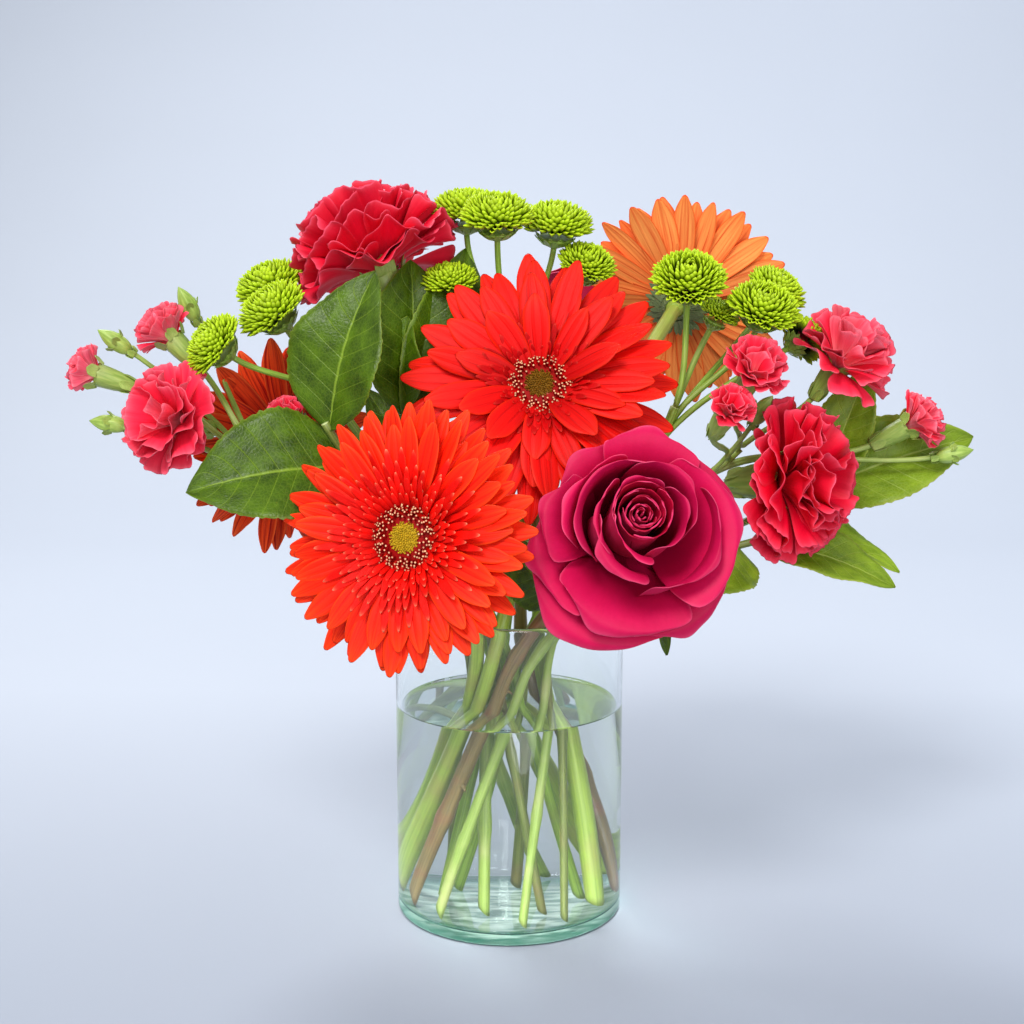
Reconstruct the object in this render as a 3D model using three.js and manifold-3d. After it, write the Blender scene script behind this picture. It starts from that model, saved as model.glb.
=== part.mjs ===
// Gerberas in a vase: a mixed bouquet in a plain glass cylinder, two thirds full of water.
// Millimetres, +Z up. The origin is the centre of the vase's foot, and the bouquet's front looks at -Y.
// Directions are given as [bearing, rise] in degrees: bearing 0 looks at -Y, 90 at +X, -90 at -X.

import * as THREE from "three";
import { mergeVertices } from "three/addons/utils/BufferGeometryUtils.js";
import Module from "manifold-3d";

// ---------- driving dimensions ----------

const VASE = { radius: 50.8, height: 140, wall: 2.2, floor: 4.5, chamfer: 1.5, sides: 40 };
const WATER_LEVEL = 94.4;
const GAP = 0.3; // between pieces that rest on each other
const HOLE_CLEARANCE = 0.4; // round a stem in the water

// The stems cross in two rings that twist opposite ways, so that no stem meets another.
const WAIST_HEIGHT = 108;
const OUTER_RING = { waist: 17.5, foot: 41, twist: 1 };
const INNER_RING = { waist: 7.5, foot: 24, twist: -1 };

const STEM_RADIUS = { gerbera: 3.2, rose: 3, carnation: 2.2, spray: 1.9, leafy: 1.7 };
const SIDE_STEM_RADIUS = { bloom: 1.3, bud: 1.1 };

// From a bloom's middle back to its base, as a share of its radius.
const DEPTH = { rose: 0.5, carnation: 0.55, sprayCarnation: 0.6, pompon: 0.45 };

// How far behind its bloom's base a stem ends, inside the cup, hip or calyx there.
const STEM_END = { gerbera: 12, rose: 11, carnation: 20, sprayCarnation: 14, bud: 6, pompon: 4 };

// ---------- colours ----------

const COLOURS = {
  glass: "#cfe6e2",
  water: "#d9ece9",
  gerberaLow: "#ee3a12",
  gerberaHigh: "#e81d16",
  gerberaBack: "#e8925a",
  gerberaLeft: "#cf4f24",
  eye: "#7d5a16",
  rose: "#d61f55",
  carnation: "#c00a26",
  sprayCarnation: "#dd3550",
  pompon: "#8ba80f",
  stem: "#8fa83a",
  leaf: "#4f6b12",
  leafLight: "#7f9a2c",
};

// ---------- where each bloom is, where it looks and how its stem runs ----------
// at: the middle of the bloom. waist: the bearing at which its stem passes the waist.
// reach: how long the stem holds its line above the waist, and how long its neck follows the bloom.

const GERBERAS = {
  low: {
    at: [-40, -80, 184], looks: [-20, 13], radius: 55, petals: [20, 18, 12], width: 8.2,
    colour: "gerberaLow", ring: OUTER_RING, waist: -62, reach: [38, 40],
  },
  high: {
    at: [13, -22, 239], looks: [-3, 28], radius: 59, petals: [18, 16, 12], width: 11,
    colour: "gerberaHigh", ring: OUTER_RING, waist: -35, reach: [45, 45],
  },
  back: {
    at: [79, 53, 272], looks: [165, 15], radius: 51, petals: [18, 12, 0], width: 10,
    colour: "gerberaBack", ring: OUTER_RING, waist: 124, reach: [60, 45],
  },
  left: {
    at: [-101, 25, 208], looks: [-138, 5], radius: 50, petals: [18, 12, 0], width: 9,
    colour: "gerberaLeft", ring: OUTER_RING, waist: -160, reach: [45, 45],
  },
};

// A leaf grows from a share of its stem's length. faces is where its upper side looks.
const ROSES = {
  front: {
    at: [50, -78, 188], looks: [6, 18], radius: 47, ring: OUTER_RING, waist: -8, reach: [30, 30],
    leaves: [
      { share: 0.75, tip: [-4, -40, 178], faces: [-12, 20], width: 26 },
      { share: 0.93, tip: [66, -50, 129], faces: [60, 20], width: 20 },
    ],
  },
  back: {
    at: [30, 104, 264], looks: [-172, 38], radius: 33, ring: OUTER_RING, waist: 152, reach: [50, 35],
    leaves: [],
  },
};

const CARNATIONS = {
  left: {
    at: [-63.5, 21, 300], looks: [-112, 64], radius: 34, ring: INNER_RING, waist: -95, reach: [60, 40],
  },
  right: {
    at: [133, -19, 199], looks: [53, 8], radius: 36, ring: OUTER_RING, waist: 19, reach: [26, 22],
  },
};

// Each spray has a fork, where its side stems leave, and a list of heads.
const SPRAY_CARNATIONS = {
  left: {
    fork: [-104, -26, 203], looks: [-92, 40], ring: OUTER_RING, waist: -128, reach: [45, 45],
    blooms: [
      { at: [-186, 0, 244], looks: [-92, 18], radius: 12 },
      { at: [-147, -28, 228], looks: [-40, 20], radius: 22 },
      { at: [-151, -2, 263], looks: [-100, 45], radius: 14 },
      { at: [-96, -21, 226], looks: [-40, 35], radius: 11 },
    ],
    buds: [
      { at: [-141, 10, 272], looks: [-60, 62] },
      { at: [-173, 7, 256], looks: [-80, 35] },
      { at: [-174, -6, 221], looks: [-95, 8] },
    ],
  },
  right: {
    fork: [104, 19, 207], looks: [88, 45], ring: OUTER_RING, waist: 72, reach: [55, 45],
    blooms: [
      { at: [149.5, -0.5, 256], looks: [60, 55], radius: 22 },
      { at: [105, -27.5, 249.5], looks: [30, 50], radius: 15 },
      { at: [93, -37, 233], looks: [20, 40], radius: 11.5 },
      { at: [184, 9, 222], looks: [78, 30], radius: 14 },
    ],
    buds: [
      { at: [198, 9, 206], looks: [85, 12] },
      { at: [110, -6, 227], looks: [40, 50] },
    ],
  },
};

const POMPONS = {
  centre: {
    fork: [-1, 16, 246], looks: [0, 88], ring: INNER_RING, waist: -150, reach: [45, 45],
    heads: [
      { at: [-19, 31, 314], looks: [0, 80], radius: 15 },
      { at: [-5, 3, 311], looks: [0, 70], radius: 15 },
      { at: [21, 19, 308], looks: [20, 75], radius: 15 },
      { at: [34.5, 14, 290], looks: [30, 60], radius: 12.5 },
      { at: [-26, 12, 283], looks: [-20, 75], radius: 12 },
    ],
  },
  right: {
    fork: [72, -4, 228], looks: [60, 70], ring: INNER_RING, waist: 150, reach: [45, 45],
    heads: [
      { at: [77, -8, 284], looks: [0, 55], radius: 15.5 },
      { at: [92, 4, 269], looks: [60, 60], radius: 9 },
      { at: [109, -10, 272], looks: [20, 58], radius: 15 },
      { at: [119, 16, 279], looks: [60, 55], radius: 13 },
      { at: [130, 10.5, 257], looks: [120, 25], radius: 11 },
    ],
  },
  left: {
    fork: [-80, -4, 238], looks: [-80, 60], ring: INNER_RING, waist: 20, reach: [50, 45],
    heads: [
      { at: [-107, 22, 281], looks: [-50, 62], radius: 15 },
      { at: [-102, -7, 271], looks: [-55, 52], radius: 15 },
      { at: [-125, -22, 257], looks: [-60, 35], radius: 13.5 },
    ],
  },
};

const LEAFY_STEMS = {
  left: {
    top: [-76, -40, 225], looks: [-60, 60], ring: OUTER_RING, waist: -95, reach: [45, 40],
    colour: "leaf",
    leaves: [
      { share: 0.985, tip: [-55, -34, 287], faces: [-25, 25], width: 45 },
      { share: 0.91, tip: [-132, -52, 198], faces: [-15, 28], width: 50 },
    ],
  },
  middle: {
    top: [-47, 3, 230], looks: [-60, 75], ring: INNER_RING, waist: -40, reach: [50, 40],
    colour: "leaf",
    leaves: [
      { share: 0.985, tip: [-44, 1, 267], faces: [-30, 10], width: 26 },
      { share: 0.8, tip: [-66, 40, 232], faces: [-160, 20], width: 30 },
    ],
  },
  right: {
    top: [147, 28, 190], looks: [85, 30], ring: OUTER_RING, waist: 98, reach: [40, 50],
    colour: "leafLight",
    leaves: [
      { share: 0.985, tip: [163, 27, 244], faces: [-10, 25], width: 27 },
      { share: 0.96, tip: [212, 30, 211], faces: [10, 32], width: 40 },
      { share: 0.84, tip: [176, 10, 152], faces: [20, 65], width: 24 },
    ],
  },
  front: {
    top: [113, 3, 168.5], looks: [82, 18], ring: INNER_RING, waist: 104, reach: [42, 40],
    colour: "leafLight",
    leaves: [
      { share: 0.985, tip: [171, -4, 148], faces: [0, 45], width: 24 },
      { share: 0.95, tip: [76, -36, 154], faces: [20, 25], width: 34 },
    ],
  },
};

// ---------- small helpers ----------

const wasm = await Module();
wasm.setup();
const { Manifold, Mesh: SolidMesh } = wasm;

const UP = new THREE.Vector3(0, 0, 1);
const FULL_TURN = 2 * Math.PI;
const SCRAP = 1; // cubic millimetres
const radians = THREE.MathUtils.degToRad;

// A seeded draw between -1 and 1, the same on each run.
function dice(seed) {
  let state = seed;
  return () => {
    state = (state * 1664525 + 1013904223) >>> 0;
    return state / 2147483648 - 1;
  };
}

function polar(bearing, radius, height) {
  const angle = radians(bearing);
  return new THREE.Vector3(radius * Math.sin(angle), -radius * Math.cos(angle), height);
}

function direction([bearing, rise]) {
  return polar(bearing, Math.cos(radians(rise)), Math.sin(radians(rise)));
}

// Turns a shape that stands on +Z to look in a direction, and moves it to its place.
function aimed(geometry, at, looks) {
  const turn = new THREE.Quaternion().setFromUnitVectors(UP, looks);
  return geometry.clone().applyQuaternion(turn).translate(at.x, at.y, at.z);
}

// ---------- closed solids ----------

function volumeOf(geometry) {
  const spots = geometry.attributes.position;
  const corners = geometry.index.array;
  const [p, q, r] = [new THREE.Vector3(), new THREE.Vector3(), new THREE.Vector3()];
  let sum = 0;
  for (let i = 0; i < corners.length; i += 3) {
    p.fromBufferAttribute(spots, corners[i]);
    q.fromBufferAttribute(spots, corners[i + 1]);
    r.fromBufferAttribute(spots, corners[i + 2]);
    sum += p.dot(q.cross(r)) / 6;
  }
  return sum;
}

function outward(geometry) {
  if (volumeOf(geometry) < 0) {
    geometry.setIndex([...geometry.index.array].reverse());
  }
  return geometry;
}

// A closed skin: a sphere's grid whose points are placed by a formula of row and column. The first
// and the last row are single points. The two faces of a waved frill or leaf are split along
// mirrored diagonals, so that they fold alike and never meet: mirrors says which cells are turned.
function skin(columns, rows, place, mirrors = () => false) {
  const geometry = new THREE.SphereGeometry(1, columns, rows);
  const spots = geometry.attributes.position;
  const wide = columns + 1;
  for (let row = 0; row <= rows; row++) {
    for (let column = 0; column <= columns; column++) {
      const spot = place(row, column % columns);
      spots.setXYZ(row * wide + column, spot.x, spot.y, spot.z);
    }
  }
  const faces = [];
  for (let row = 0; row < rows; row++) {
    for (let column = 0; column < columns; column++) {
      const near = row * wide + column;
      const far = near + wide;
      if (row === 0) {
        faces.push(near, far, far + 1);
      } else if (row === rows - 1) {
        faces.push(near, far, near + 1);
      } else if (mirrors(row, column)) {
        faces.push(near, far, near + 1, near + 1, far, far + 1);
      } else {
        faces.push(near, far, far + 1, near, far + 1, near + 1);
      }
    }
  }
  geometry.setIndex(faces);
  return outward(geometry);
}

function solid(geometry) {
  const bare = geometry.clone();
  bare.deleteAttribute("normal");
  bare.deleteAttribute("uv");
  const merged = mergeVertices(bare, 1e-4);
  return new Manifold(new SolidMesh({
    numProp: 3,
    vertProperties: Float32Array.from(merged.attributes.position.array),
    triVerts: Uint32Array.from(merged.index.array),
  }));
}

function shown(body) {
  const { vertProperties, triVerts } = body.getMesh();
  const geometry = new THREE.BufferGeometry();
  geometry.setAttribute("position", new THREE.BufferAttribute(vertProperties, 3));
  geometry.setIndex(new THREE.BufferAttribute(triVerts, 1));
  geometry.computeVertexNormals();
  return geometry;
}

// Joins shapes into one body, and drops the scraps that a join can leave.
function fused(geometries) {
  const bodies = Manifold.union(geometries.map(solid)).decompose();
  return shown(Manifold.compose(bodies.filter((body) => body.volume() > SCRAP)));
}

// A turned shape about +Z, from [radius, height] points that start and end on the axis.
function turned(profile, sides) {
  const points = profile.map(([radius, height]) => new THREE.Vector2(radius, height));
  return outward(new THREE.LatheGeometry(points, sides).rotateX(Math.PI / 2));
}

function tube(curve, radius, sides, steps) {
  const corners = Array.from({ length: sides }, (_, i) => {
    const angle = (i * FULL_TURN) / sides;
    return new THREE.Vector2(radius * Math.cos(angle), radius * Math.sin(angle));
  });
  return new THREE.ExtrudeGeometry(new THREE.Shape(corners), { extrudePath: curve, steps });
}

// A thin blade with sharp edges: a spindle of four or six corners, pointed at both ends. The formula
// is given how far along it a point lies (0 to 1), how far across (-1 to 1) and on which face.
const BLADE_CORNERS = {
  4: [[-1, 0], [0, 1], [1, 0], [0, -1]],
  6: [[-1, 0], [-0.45, 1], [0.45, 1], [1, 0], [0.45, -1], [-0.45, -1]],
};

function blade(corners, stations, place) {
  const last = stations.length - 1;
  return skin(corners, last, (row, column) => {
    const isEnd = row === 0 || row === last;
    const [across, face] = isEnd ? [0, 0] : BLADE_CORNERS[corners][column];
    return place(stations[row], across, face);
  }, (row, column) => column >= corners / 2);
}

// A point and its normal on an arc that starts at a rise and bends by a number of degrees.
function arc(length, rise, bend, along) {
  const start = radians(rise);
  const turn = radians(bend);
  const angle = start + turn * along;
  return {
    out: (length * (Math.sin(angle) - Math.sin(start))) / turn,
    up: (-length * (Math.cos(angle) - Math.cos(start))) / turn,
    angle,
  };
}

// ---------- gerbera ----------

const CORE = { radius: 11.5, inner: 10, top: 1, bottom: -2.5, sides: 12 };
const EYE = { radius: 7.2, height: 3.6, columns: 12, rows: 5, bump: 0.5 };
const PETAL_THICKNESS = 1.3;

function petal({ turn, root, seat, length, width, rise, bend, stations }) {
  const side = new THREE.Vector3(-Math.sin(turn), Math.cos(turn), 0);
  return blade(4, stations, (along, across, face) => {
    const spine = arc(length, rise, bend, along);
    const half = (width / 2) * Math.sin(Math.PI * along ** 1.3) ** 0.6;
    const lift = (face * PETAL_THICKNESS) / 2;
    const out = root + spine.out - lift * Math.sin(spine.angle);
    const up = seat + spine.up + lift * Math.cos(spine.angle);
    return new THREE.Vector3(out * Math.cos(turn), out * Math.sin(turn), up)
      .addScaledVector(side, across * half);
  });
}

function petalRing(ring, count, random) {
  return Array.from({ length: count }, (_, i) => {
    const lifted = i % 2;
    return petal({
      ...ring,
      turn: ((i + ring.offset + 0.12 * random()) * FULL_TURN) / count,
      seat: ring.seat + 0.5 * lifted,
      rise: ring.rise + 2.5 * lifted + 1.5 * random(),
      length: ring.length * (1 + 0.035 * random()),
    });
  });
}

function gerberaRays(flower, seed) {
  const random = dice(seed);
  const root = 8;
  const reach = flower.radius - root + 1.5;
  const core = turned([
    [0, CORE.bottom], [CORE.inner, CORE.bottom], [CORE.radius, -1], [CORE.radius, CORE.top], [0, CORE.top],
  ], CORE.sides);
  const stations = flower.width > 9.5 ? [0, 0.28, 0.68, 0.92, 1] : [0, 0.3, 0.76, 1];
  const outer = {
    root, seat: -0.6, length: reach, width: flower.width, rise: 13, bend: -20, offset: 0, stations,
  };
  const second = {
    root, seat: 0, length: reach * 0.86, width: flower.width * 0.94, rise: 25, bend: -22, offset: 0.5,
    stations: [0, 0.3, 0.76, 1],
  };
  const short = {
    root: 8.9, seat: -0.4, length: 14, width: 4.4, rise: 50, bend: -15, offset: 0, stations: [0, 0.5, 1],
  };
  const petals = [
    ...petalRing(outer, flower.petals[0], random),
    ...petalRing(second, flower.petals[1], random),
    ...petalRing(short, flower.petals[2], random),
  ];
  return fused([core, ...petals]);
}

// The eye is a low dome, its florets raised from it in a staggered pattern.
function gerberaEye() {
  const base = CORE.top + GAP;
  return skin(EYE.columns, EYE.rows, (row, column) => {
    if (row === 0 || row === EYE.rows) {
      return new THREE.Vector3(0, 0, row === 0 ? base + EYE.height - EYE.bump : base);
    }
    const isRim = row === EYE.rows - 1;
    const slope = (row / (EYE.rows - 1)) * (Math.PI / 2);
    const bump = isRim ? 0 : EYE.bump * ((row + column) % 2 ? 1 : -1);
    const angle = (column * FULL_TURN) / EYE.columns;
    const out = (EYE.radius + bump) * Math.sin(slope);
    const up = isRim ? 0 : (EYE.height + bump) * Math.cos(slope);
    return new THREE.Vector3(out * Math.cos(angle), out * Math.sin(angle), base + up);
  });
}

const CUP = { top: CORE.bottom - GAP, neck: -15, bracts: 7 };

// The green cup behind the petals, with its pointed bracts.
function gerberaCup() {
  const cup = turned([[0, CUP.top], [9.5, CUP.top], [11, -4.8], [8.5, -9.5], [4, -14], [0, CUP.neck]], 7);
  const bracts = Array.from({ length: CUP.bracts }, (_, i) => {
    const turn = ((i + 0.5) * FULL_TURN) / CUP.bracts;
    const side = new THREE.Vector3(-Math.sin(turn), Math.cos(turn), 0);
    return blade(4, [0, 0.55, 1], (along, across, face) => {
      const out = 8 + 8.5 * along + 0.5 * face;
      const up = -9 + 6.4 * along - 0.4 * face;
      const half = 2.6 * Math.sin(Math.PI * along ** 0.9);
      return new THREE.Vector3(out * Math.cos(turn), out * Math.sin(turn), up)
        .addScaledVector(side, across * half);
    });
  });
  return [cup, ...bracts];
}

// ---------- stems ----------

// The lean of a stem from its foot to the waist is a straight line that touches the waist's circle.
function lean({ ring, waist }) {
  const swing = THREE.MathUtils.radToDeg(Math.acos(ring.waist / ring.foot)) * ring.twist;
  const crossing = polar(waist, ring.waist, WAIST_HEIGHT);
  const foot = polar(waist - swing, ring.foot, VASE.floor);
  return { crossing, foot, up: crossing.clone().sub(foot).normalize() };
}

// From a foot on the vase's floor, straight through the water and then in one bend to its flower.
function stemPath(stem, end, looks, radius) {
  const { crossing, foot, up } = lean(stem);
  const slant = Math.sqrt(1 - up.z * up.z);
  const start = foot.clone().addScaledVector(up, (GAP + radius * slant) / up.z);
  const path = new THREE.CurvePath();
  path.add(new THREE.LineCurve3(start, crossing));
  path.add(new THREE.CubicBezierCurve3(
    crossing,
    crossing.clone().addScaledVector(up, stem.reach[0]),
    end.clone().addScaledVector(looks, -stem.reach[1]),
    end,
  ));
  return path;
}

const waterHoles = [];

function stemTube(stem, end, looks, radius, sides, steps) {
  const { foot, up } = lean(stem);
  const line = new THREE.LineCurve3(
    foot.clone().addScaledVector(up, -10),
    foot.clone().addScaledVector(up, WATER_LEVEL + 20),
  );
  const holeSides = 6;
  const holeRadius = (radius + HOLE_CLEARANCE) / Math.cos(Math.PI / holeSides);
  waterHoles.push(tube(line, holeRadius, holeSides, 1));
  return tube(stemPath(stem, end, looks, radius), radius, sides, steps);
}

// A side stem leaves its spray's stem a step below the last one, and arrives along its own bloom.
const SIDE_STEM_STEP = 0.025;

function sideStem(path, order, end, looks, radius) {
  const share = 1 - SIDE_STEM_STEP * order;
  const start = path.getPointAt(share);
  const reach = start.distanceTo(end) * 0.35;
  const curve = new THREE.CubicBezierCurve3(
    start,
    start.clone().addScaledVector(path.getTangentAt(share), reach),
    end.clone().addScaledVector(looks, -reach),
    end,
  );
  return tube(curve, radius, 4, 3);
}

// ---------- rose ----------

// Nested cups of petals from the outside in: each row is a rim or the valley behind it.
// span: how many columns one petal takes; notch: how far its edges dip between neighbours.
const ROSE_COLUMNS = 20;
const ROSE_ROWS = [
  { radius: 0, height: 0 },
  { radius: 0.52, height: 0.1 },
  { radius: 1, height: 0.5, span: 4, notch: 0.2, offset: 0 },
  { radius: 0.58, height: 0.36 },
  { radius: 0.86, height: 0.74, span: 4, notch: 0.18, offset: 2 },
  { radius: 0.44, height: 0.5 },
  { radius: 0.62, height: 0.92, span: 5, notch: 0.14, offset: 1 },
  { radius: 0.3, height: 0.62 },
  { radius: 0.38, height: 1.02, span: 5, notch: 0.1, offset: 3 },
  { radius: 0.15, height: 0.74 },
  { radius: 0.15, height: 1.06, span: 10, notch: 0.06, offset: 4 },
  { radius: 0, height: 0.82 },
];

function roseBloom(radius) {
  const depth = radius * 0.92;
  return skin(ROSE_COLUMNS, ROSE_ROWS.length - 1, (row, column) => {
    const { radius: out, height, span = 0, notch = 0, offset = 0 } = ROSE_ROWS[row];
    const place = span ? ((column + offset) % span) / (span - 1) : 0.5;
    const dip = notch * (2 * place - 1) ** 2;
    const overlap = span ? 0.05 * (place - 0.5) : 0;
    const angle = ((column + 0.25 * row) * FULL_TURN) / ROSE_COLUMNS;
    const reach = radius * out * (1 - 0.5 * dip + overlap);
    return new THREE.Vector3(
      reach * Math.cos(angle),
      reach * Math.sin(angle),
      depth * (height - 0.55 * dip),
    );
  }, (row) => row % 2 === 1);
}

// The hip and the five sepals that hold a rose from behind.
function roseHip(radius) {
  const hip = turned([[0, -GAP], [7, -GAP], [8, -3], [6, -9], [3.4, -13], [0, -14]], 9);
  const sepals = Array.from({ length: 5 }, (_, i) => {
    const turn = (i * FULL_TURN) / 5;
    const side = new THREE.Vector3(-Math.sin(turn), Math.cos(turn), 0);
    return blade(4, [0, 0.45, 1], (along, across, face) => {
      const spine = arc(radius * 0.62, 8, -60, along);
      const out = 5 + spine.out - 0.6 * face * Math.sin(spine.angle);
      const up = -4 + spine.up + 0.6 * face * Math.cos(spine.angle);
      const half = 4.2 * Math.sin(Math.PI * along ** 0.8);
      return new THREE.Vector3(out * Math.cos(turn), out * Math.sin(turn), up)
        .addScaledVector(side, across * half);
    });
  });
  return [hip, ...sepals];
}

// ---------- carnation ----------

// Frills stand round each other: a profile of rims and the valleys between them, in shares of the
// bloom's radius. Each rim is pleated up and down, and pinked in and out.
const CARNATION_PROFILE = [
  [0, -0.04], [0.3, 0.04], [1, 0.3], [0.36, 0.24], [0.95, 0.58], [0.27, 0.38],
  [0.74, 0.84], [0.2, 0.5], [0.48, 1], [0.11, 0.6], [0.2, 1.06], [0, 0.8],
];
const SPRAY_PROFILE = [
  [0, -0.1], [0.28, 0.1], [0.98, 0.62], [0.32, 0.44], [0.8, 1.02], [0.2, 0.62], [0.42, 1.26], [0, 0.95],
];

function frilledBloom(profile, radius, columns, seed) {
  const random = dice(seed);
  const base = profile[0][1];
  const last = profile.length - 1;
  const spots = profile.map(([out, height], row) => {
    const isRim = row > 0 && row < last && row % 2 === 0;
    return Array.from({ length: columns }, (_, column) => {
      const pleat = isRim ? (column % 2 ? 1 : -1) : 0;
      const angle = ((column + 0.5 * (row % 4 < 2)) * FULL_TURN) / columns;
      const reach = radius * (out + (isRim ? out * (0.045 * pleat + 0.06 * random()) : 0));
      const up = radius * (height - base + (isRim ? 0.075 * pleat + 0.03 * random() : 0));
      return new THREE.Vector3(reach * Math.cos(angle), reach * Math.sin(angle), up);
    });
  });
  return skin(columns, last, (row, column) => spots[row][column], (row) => row % 2 === 1);
}

const CALYX = {
  large: { radius: 7.5, length: 24, sides: 8 },
  small: { radius: 4.4, length: 17, sides: 6 },
};
const BUD = { radius: 3.8, length: 17 };

// The long green tube that holds a carnation.
function calyx({ radius, length, sides }) {
  return turned([
    [0, -GAP], [radius, -GAP], [radius * 0.86, -length * 0.55], [radius * 0.5, -length * 0.9], [0, -length],
  ], sides);
}

function bud(radius, length) {
  return blade(6, [0, 0.3, 1], (along, across, face) => {
    const half = radius * Math.sin(Math.PI * along ** 0.85) ** 0.8;
    const angle = Math.atan2(face * Math.sqrt(3) / 2, across);
    const isEdge = Math.abs(across) === 1;
    const turn = isEdge ? (across > 0 ? 0 : Math.PI) : angle;
    return new THREE.Vector3(half * Math.cos(turn), half * Math.sin(turn), (along - 0.5) * length);
  });
}

// ---------- button chrysanthemum ----------

// A dome packed with upright florets, which are raised from it in a staggered pattern.
function pomponHead(radius) {
  const columns = 12;
  const rows = 7;
  const top = radius * 0.95;
  return skin(columns, rows, (row, column) => {
    if (row === 0 || row === rows) {
      return new THREE.Vector3(0, 0, row === 0 ? top : 0);
    }
    if (row === rows - 1) {
      const angle = (column * FULL_TURN) / columns;
      return new THREE.Vector3(radius * 0.5 * Math.cos(angle), radius * 0.5 * Math.sin(angle), 0);
    }
    const isRaised = (row + column) % 2 === 0;
    const slope = (row / (rows - 2)) * radians(98);
    const swell = isRaised ? 1.08 : 0.78;
    const angle = (column * FULL_TURN) / columns;
    const out = radius * swell * Math.sin(slope);
    const up = top * (0.24 + 0.76 * swell * Math.cos(slope)) + (isRaised ? 0.05 * radius : 0);
    return new THREE.Vector3(out * Math.cos(angle), out * Math.sin(angle), up);
  });
}

// The cup of bracts under a head.
function pomponCup(radius) {
  const mouth = radius * 0.52;
  return turned([[0, -GAP], [mouth, -GAP], [mouth * 0.8, -2.6], [0, -5.4]], 6);
}

// ---------- leaves ----------

const LEAF_STATIONS = [0, 0.12, 0.3, 0.5, 0.7, 0.88, 1];

// A leaf from its stem to its tip, folded a little along its midrib and waved at its edges.
function leaf(start, { tip, faces, width }) {
  const spine = new THREE.Vector3(...tip).sub(start);
  const length = spine.length();
  const side = new THREE.Vector3().crossVectors(spine, direction(faces)).normalize();
  const normal = new THREE.Vector3().crossVectors(side, spine).normalize();
  return blade(4, LEAF_STATIONS, (along, across, face) => {
    const step = LEAF_STATIONS.indexOf(along);
    const wave = 1 + (step % 2 ? 0.04 : -0.02);
    const half = (width / 2) * Math.sin(Math.PI * along ** 0.82) ** 0.8 * wave;
    const crown = 0.09 * length * Math.sin(Math.PI * along);
    const fold = Math.abs(across) * (0.16 * half + (step % 2 ? 0.8 : -0.5));
    return start.clone()
      .addScaledVector(spine, along)
      .addScaledVector(side, across * half)
      .addScaledVector(normal, crown + fold + 0.6 * face);
  });
}

// ---------- vase and water ----------

function glassVase() {
  const { radius, height, wall, floor, chamfer, sides } = VASE;
  const inner = radius - wall;
  return turned([
    [0, 0], [radius - chamfer, 0], [radius, chamfer], [radius, height], [inner, height],
    [inner, floor + chamfer], [inner - chamfer, floor], [0, floor],
  ], sides);
}

function vaseWater() {
  const { radius, wall, floor, chamfer, sides } = VASE;
  const edge = radius - wall - GAP;
  const bottom = floor + GAP;
  const body = turned([
    [0, bottom], [edge - chamfer, bottom], [edge, bottom + chamfer], [edge, WATER_LEVEL], [0, WATER_LEVEL],
  ], sides);
  return shown(solid(body).subtract(Manifold.union(waterHoles.map(solid))));
}

// ---------- the bouquet ----------

const bouquet = new THREE.Group();
bouquet.name = "gerberas_in_a_vase";

function add(name, geometry, colour, { roughness = 0.6, opacity = 1 } = {}) {
  const material = new THREE.MeshStandardMaterial({
    color: COLOURS[colour], roughness, metalness: 0, opacity, transparent: opacity < 1,
  });
  const mesh = new THREE.Mesh(geometry, material);
  mesh.name = name;
  bouquet.add(mesh);
  return mesh;
}

// A bloom is made about its own axis and then set at its place, looking its own way.
function addBloom(name, geometry, colour, at, looks, options) {
  const mesh = add(name, geometry, colour, options);
  mesh.position.copy(at);
  mesh.quaternion.setFromUnitVectors(UP, looks);
}

function behind(at, looks, distance) {
  return at.clone().addScaledVector(looks, -distance);
}

function sprayStem(spray) {
  const top = new THREE.Vector3(...spray.fork);
  const looks = direction(spray.looks);
  return {
    stalk: stemTube(spray, top, looks, STEM_RADIUS.spray, 6, 8),
    path: stemPath(spray, top, looks, STEM_RADIUS.spray),
  };
}

Object.entries(GERBERAS).forEach(([place, flower], i) => {
  const at = new THREE.Vector3(...flower.at);
  const looks = direction(flower.looks);
  addBloom(`gerbera_${place}_rays`, gerberaRays(flower, 11 + i), flower.colour, at, looks);
  addBloom(`gerbera_${place}_eye`, gerberaEye(), "eye", at, looks, { roughness: 0.8 });
  const stalk = stemTube(flower, behind(at, looks, STEM_END.gerbera), looks, STEM_RADIUS.gerbera, 6, 8);
  const cup = gerberaCup().map((piece) => aimed(piece, at, looks));
  add(`gerbera_${place}_stem`, fused([stalk, ...cup]), "stem");
});

Object.entries(ROSES).forEach(([place, flower]) => {
  const looks = direction(flower.looks);
  const at = behind(new THREE.Vector3(...flower.at), looks, flower.radius * DEPTH.rose);
  addBloom(`rose_${place}_bloom`, roseBloom(flower.radius), "rose", at, looks);
  const neck = behind(at, looks, STEM_END.rose);
  const stalk = stemTube(flower, neck, looks, STEM_RADIUS.rose, 6, 8);
  const path = stemPath(flower, neck, looks, STEM_RADIUS.rose);
  const hip = roseHip(flower.radius).map((piece) => aimed(piece, at, looks));
  const leaves = flower.leaves.map((blank) => leaf(path.getPointAt(blank.share), blank));
  add(`rose_${place}_stem`, fused([stalk, ...hip, ...leaves]), "stem");
});

Object.entries(CARNATIONS).forEach(([place, flower], i) => {
  const looks = direction(flower.looks);
  const at = behind(new THREE.Vector3(...flower.at), looks, flower.radius * DEPTH.carnation);
  const bloom = frilledBloom(CARNATION_PROFILE, flower.radius, 20, 31 + i);
  addBloom(`carnation_${place}_bloom`, bloom, "carnation", at, looks);
  const neck = behind(at, looks, STEM_END.carnation);
  const stalk = stemTube(flower, neck, looks, STEM_RADIUS.carnation, 6, 8);
  const cup = aimed(calyx(CALYX.large), at, looks);
  add(`carnation_${place}_stem`, fused([stalk, cup]), "stem");
});

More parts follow.
